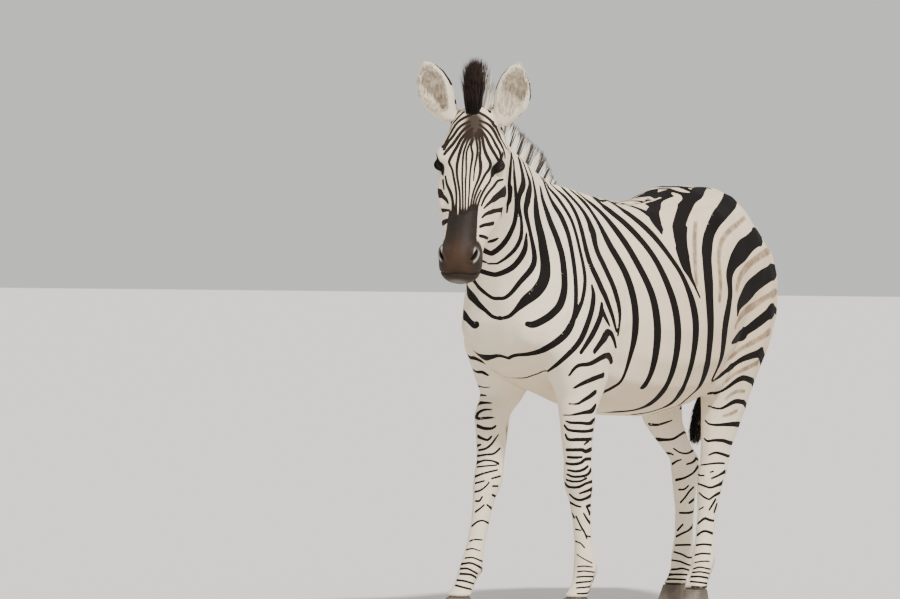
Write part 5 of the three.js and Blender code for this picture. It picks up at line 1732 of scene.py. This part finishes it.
# Ears: longer pale hair inside and a fringe on the edge.
earFace = faceOf["ear_left"] | faceOf["ear_right"]
inside = masks["earInside"][polyVertexOne]
shortHair("ear_hair", earFace * (0.5 + 1.5 * inside), np.where(inside > 0.3, 0.017, 0.007),
          np.where(inside > 0.3, 0.0010, 0.0009), np.where(inside > 0.3, 0.22, 0.14),
          hairValues["earTufts"], hairValues["earSeed"], rings=3)

# Breaks of the form: throat, breast line, belly line, elbow, buttock edges and the backs of the legs.
lowSide = softStep(-polyNormal[:, 2], 0.4, 0.9) * (faceZ > 0.55)
backOfLeg = softStep(polyNormal[:, 1], 0.3, 0.9) * (faceZ < 0.62) * (faceZ > 0.07)
fetlock = np.exp(-((faceZ - 0.13) / 0.035) ** 2) * softStep(polyNormal[:, 1], 0.1, 0.8)
breaks = (0.25 * lowSide + 0.5 * backOfLeg + 3.0 * fetlock) * bodyCover * ~bare
longer = np.where(fetlock > 0.3, 0.022, 0.010)
shortHair("edge_hair", breaks, longer, np.full(len(faceZ), hairValues["edgeWidth"]),
          np.where(fetlock > 0.3, 0.45, 0.14), hairValues["edgeTufts"], hairValues["edgeSeed"], rings=3)
say("edges grown")

# Floor, light and camera.
studioValues = {"floorHalf": 60, "floorDrop": 0.0005, "floor": (0.72, 0.71, 0.69),
                "sky": (0.90, 0.89, 0.875), "skyPower": 0.80, "sunFrom": (7, -3.5, 10),
                "sunTo": (0, 0, 0.8), "sunPower": 4.8, "sunWidth": 0.09, "sun": (1.0, 0.96, 0.90)}
reach = studioValues["floorHalf"]
floorMesh = bpy.data.meshes.new("floor")
floorMesh.from_pydata([(x * reach, y * reach, -studioValues["floorDrop"])
                       for x, y in ((-1, -1), (1, -1), (1, 1), (-1, 1))], [], [(0, 1, 2, 3)])
floor = bpy.data.objects.new("floor", floorMesh)
bpy.context.collection.objects.link(floor)
floorMesh.materials.append(material("floor_finish", studioValues["floor"], 0.9))

world = bpy.data.worlds.new("studio")
bpy.context.scene.world = world
world.use_nodes = True
world.node_tree.nodes["Background"].inputs[0].default_value = (*studioValues["sky"], 1)
world.node_tree.nodes["Background"].inputs[1].default_value = studioValues["skyPower"]

sunData = bpy.data.lights.new("sun", "SUN")
sunData.energy = studioValues["sunPower"]
sunData.color = studioValues["sun"]
sunData.angle = studioValues["sunWidth"]
sun = bpy.data.objects.new("sun", sunData)
sun.location = studioValues["sunFrom"]
sunAim = Vector(studioValues["sunTo"]) - Vector(studioValues["sunFrom"])
sun.rotation_euler = sunAim.to_track_quat("-Z", "Y").to_euler()
bpy.context.collection.objects.link(sun)

cam = bpy.data.objects.new("camera", bpy.data.cameras.new("camera"))
bpy.context.collection.objects.link(cam)
cam.location = eyePoint
cam.data.sensor_width = cameraPlace["sensor"]
centreRay = pixelRay(cameraPlace["width"] / 2, cameraPlace["depth"] / 2)
cam.rotation_euler = centreRay.to_track_quat("-Z", "Y").to_euler()
cam.data.lens = focal * cameraPlace["sensor"] / cameraPlace["width"]
cam.data.clip_end = 200.0
bpy.context.scene.camera = cam

shown = [o for o in bpy.data.objects if o.type == "MESH" and not o.hide_render and o is not floor]
say("%d triangles in %d pieces" % (sum(len(p.vertices) - 2 for o in shown for p in o.data.polygons),
                                   len(shown)))
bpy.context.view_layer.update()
say("done")
